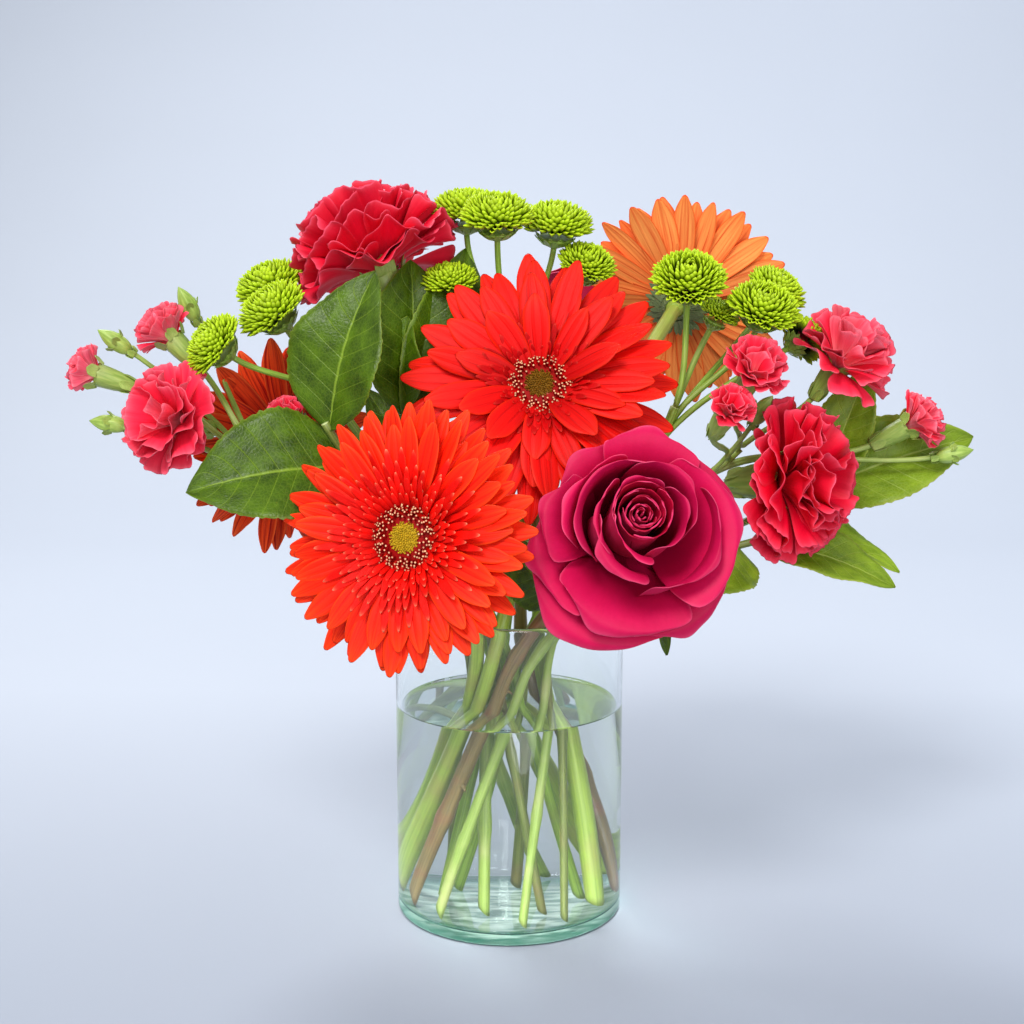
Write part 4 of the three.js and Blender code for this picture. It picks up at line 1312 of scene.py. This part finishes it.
def spun(name, profile, node, finishes):
    bm = bmesh.new()
    corners = [bm.verts.new((radius, 0.0, height)) for radius, height in profile]
    edges = [bm.edges.new(pair) for pair in zip(corners, corners[1:])]
    bmesh.ops.spin(bm, geom=corners + edges, cent=(0, 0, 0), axis=(0, 0, 1), angle=math.tau, steps=144,
                   use_merge=True)
    bmesh.ops.remove_doubles(bm, verts=bm.verts, dist=0.0005)
    bmesh.ops.recalc_face_normals(bm, faces=bm.faces)
    for face in bm.faces:
        face.material_index = int(face.calc_center_median().z < UNDERSIDE)
    finished(name, bm, node, finishes)


def rounded_corner(centre_radius, centre_height, size, start, stop, steps=5):
    points = []
    for step in range(steps + 1):
        angle = math.radians(start + (stop - start) * step / steps)
        points.append((centre_radius + size * math.cos(angle), centre_height + size * math.sin(angle)))
    return points


print("spun walls ready")

# %% [markdown]
# Glass and water bend the light, colour it a little along its way, and let a soft shadow through: for
# shadow rays they are merely tinted. Light that is caught between the walls would be given up after a
# dozen turns and leave black patches, so after the sixth it goes straight on. The underside is opaque
# ground glass: its pale rippled middle is painted light, for the bright floor seen through the foot,
# and it is painted teal towards the rim, where one looks through most glass.

# %% Glass, water and ground foot
LAST_TURN = 6


def clear_finish(name, tint, refraction, stain, density, ripple):
    finish = Finish(name)
    waves = finish.speckle(30.0, 1.0)
    body = finish.node("ShaderNodeBsdfPrincipled", {}, {
        "Base Color": tint, "Roughness": 0.0, "IOR": refraction, "Transmission Weight": 1.0,
        "Normal": finish.bump(waves, ripple, 0.6),
    })
    shade = finish.node("ShaderNodeBsdfTransparent", {}, {"Color": tint})
    is_shadow = finish.node("ShaderNodeLightPath", {}, {}, "Is Shadow Ray")
    passes = finish.node("ShaderNodeLightPath", {}, {}, "Ray Depth")
    straight = (is_shadow + (passes - LAST_TURN).clamped()).clamped()
    both = finish.node("ShaderNodeMixShader", {}, {0: straight, 1: body, 2: shade})
    depth = finish.node("ShaderNodeVolumeAbsorption", {}, {"Color": stain, "Density": density})
    finish.node("ShaderNodeOutputMaterial", {}, {"Surface": both, "Volume": depth})
    return finish.material


def foot_finish(name):
    finish = Finish(name)
    x, y = finish.ground()
    ripples = finish.grain(x * 70, y * 190, 0.0, 2.0)
    rim = (((x * x + y * y) ** 0.5 - 0.026) * 55).clamped()
    # Painted light: the pale ripples stand for the lit floor seen through the foot.
    painted_see_through = finish.mix(((ripples - 0.4) * 5).clamped(), (104, 132, 120), (204, 214, 208))
    edged = finish.mix(rim * 0.92, painted_see_through, (0, 92, 76))
    return finish.surface(Base_Color=edged, Roughness=0.4 + ripples * 0.2, Specular_IOR_Level=0.2,
                          Normal=finish.bump(ripples, 0.7, 0.6))


glass = clear_finish("vase_glass", (0.995, 1.0, 0.998, 1.0), 1.5, (0.42, 0.88, 0.8, 1.0), 15.0, 0.25)
foot = foot_finish("vase_foot_ground")
water = clear_finish("vase_water", (1.0, 1.0, 1.0, 1.0), 1.333, (0.8, 0.95, 0.84, 1.0), 1.2, 0.15)
print("clear finishes", glass.name, water.name, foot.name)

# %% [markdown]
# The profile of the vase runs from the middle of its underside out, up the wall, over the round rim,
# down inside and back to the axis. The water's profile follows it inside, and climbs the glass a
# little at the top, as water does. It reaches a hair into the glass, because a gap of air between them
# would show as a dark mirror.

# %% Vase and water
VASE_RADIUS = 50.8
VASE_HEIGHT = 140.0
WALL = 2.2
WATER_LEVEL = 94.4
inner = VASE_RADIUS - WALL

outline = [(0.0, 0.6), (30.0, 0.6), (44.0, 0.1), (VASE_RADIUS - 2.8, 0.0)]
outline += rounded_corner(VASE_RADIUS - 2.0, 2.0, 2.0, -90, 0)
outline += [(VASE_RADIUS, 3.0), (VASE_RADIUS, 70.0), (VASE_RADIUS, VASE_HEIGHT - 2.4)]
outline += rounded_corner(VASE_RADIUS - WALL / 2, VASE_HEIGHT - WALL / 2, WALL / 2, 0, 180, 8)
outline += [(inner, VASE_HEIGHT - 2.4), (inner, 70.0), (inner, VASE_FLOOR + 4.0)]
outline += rounded_corner(inner - 3.0, VASE_FLOOR + 3.0, 3.0, 0, -90)
outline += [(inner - 4.0, VASE_FLOOR), (20.0, VASE_FLOOR + 0.5), (0.0, VASE_FLOOR + 0.7)]
spun("vase_clear", outline, "vase", [glass, foot])

fill = [(0.0, VASE_FLOOR + 0.6), (20.0, VASE_FLOOR + 0.4), (inner - 4.0, VASE_FLOOR - 0.1)]
fill += rounded_corner(inner - 2.9, VASE_FLOOR + 2.9, 3.0, -90, 0)
fill += [(inner + 0.1, VASE_FLOOR + 4.0), (inner + 0.1, 50.0), (inner + 0.1, WATER_LEVEL + 0.9)]
fill += [(inner, WATER_LEVEL + 1.2), (inner - 0.6, WATER_LEVEL + 0.5), (inner - 1.4, WATER_LEVEL + 0.15)]
fill += [(inner - 2.4, WATER_LEVEL), (inner - 3.2, WATER_LEVEL), (20.0, WATER_LEVEL), (0.0, WATER_LEVEL)]
spun("water_clear", fill, "water", [water])

# %% [markdown]
# ## The studio
#
# A plain pale floor runs up into a backdrop with a wide bend, so that no corner shows. Its front edge
# is extruded along the bend. Shade is painted into the paper: it is darker in front and on the left.
# The floor far away is painted paler, as painted light where hardly any lamp light reaches it.

# %% Floor
def floor_finish():
    finish = Finish("studio_paper")
    fine = finish.speckle(240.0)
    broad = finish.speckle(3.0)
    x, y = finish.ground()
    # Painted shade: darker towards the front and on the left. Painted light: paler far out to the sides.
    away = (y * 1.4 + 0.5).clamped()
    aside = (x * 0.8 + 0.6).clamped()
    outer = ((abs(x) * 0.8 - 1.0).clamped() + (y * -0.8 - 0.8).clamped()).clamped()
    near = finish.mix(away, (142, 150, 165), (188, 195, 207))
    painted = finish.mix(outer, near, (222, 227, 234))
    toned = finish.lit(painted, aside * 0.22 + broad * 0.04 + fine * 0.02 + 0.79)
    return finish.surface(Base_Color=toned, Roughness=0.7 + fine * 0.1, Normal=finish.bump(fine, 0.1, 0.1))


bm = bmesh.new()
front = [bm.verts.new((side, -30.0, 0.0)) for side in (-30.0, 30.0)]
edge = [bm.edges.new(front)]
bend = [(0.9, 0.0)] + [
    (0.9 + 0.9 * math.sin(math.radians(a)), 0.9 - 0.9 * math.cos(math.radians(a))) for a in range(10, 91, 10)
] + [(1.8, 3.2)]
for depth, height in bend:
    grown = bmesh.ops.extrude_edge_only(bm, edges=edge)["geom"]
    row = [item for item in grown if isinstance(item, bmesh.types.BMVert)]
    edge = [item for item in grown if isinstance(item, bmesh.types.BMEdge)]
    edge = [item for item in edge if all(corner in row for corner in item.verts)]
    for corner in row:
        corner.co.y = depth
        corner.co.z = height
for face in bm.faces:
    face.smooth = True
bmesh.ops.recalc_face_normals(bm, faces=bm.faces)
floor_mesh = bpy.data.meshes.new("studio_floor")
bm.to_mesh(floor_mesh)
bm.free()
floor_mesh.materials.append(floor_finish())
floor = bpy.data.objects.new("studio_floor", floor_mesh)
bpy.context.scene.collection.objects.link(floor)
print("floor faces", len(floor_mesh.polygons))

# %% [markdown]
# One big soft light hangs upper left in front, a weaker one fills from low in front on the right, and
# one behind the bouquet lights its edges. The pale world light opens the shadows. The Standard view
# keeps the reds as full as they are painted.

# %% Lights
def soft_light(name, place, towards, size, watts, tint):
    lamp = bpy.data.lights.new(name, "AREA")
    lamp.shape = "DISK"
    lamp.size = size
    lamp.energy = watts
    lamp.color = tint
    light = bpy.data.objects.new(name, lamp)
    light.location = place
    light.rotation_euler = (Vector(towards) - Vector(place)).to_track_quat("-Z", "Y").to_euler()
    bpy.context.scene.collection.objects.link(light)


soft_light("key_light", (-0.9, -2.3, 2.5), (0, 0, 0.2), 1.3, 92, (1.0, 0.985, 0.96))
soft_light("low_light", (0.5, -2.0, 0.5), (0, 0, 0.12), 1.0, 16, (1.0, 0.99, 0.97))
soft_light("back_light", (-0.5, 1.0, 1.5), (0, 0, 0.1), 0.6, 19, (1.0, 1.0, 1.0))

world = bpy.data.worlds.new("studio")
world.use_nodes = True
world.node_tree.nodes["Background"].inputs["Color"].default_value = (0.88, 0.92, 0.98, 1.0)
world.node_tree.nodes["Background"].inputs["Strength"].default_value = 0.62
bpy.context.scene.world = world
bpy.context.scene.view_settings.view_transform = "Standard"
print("lights", len(bpy.data.lights))
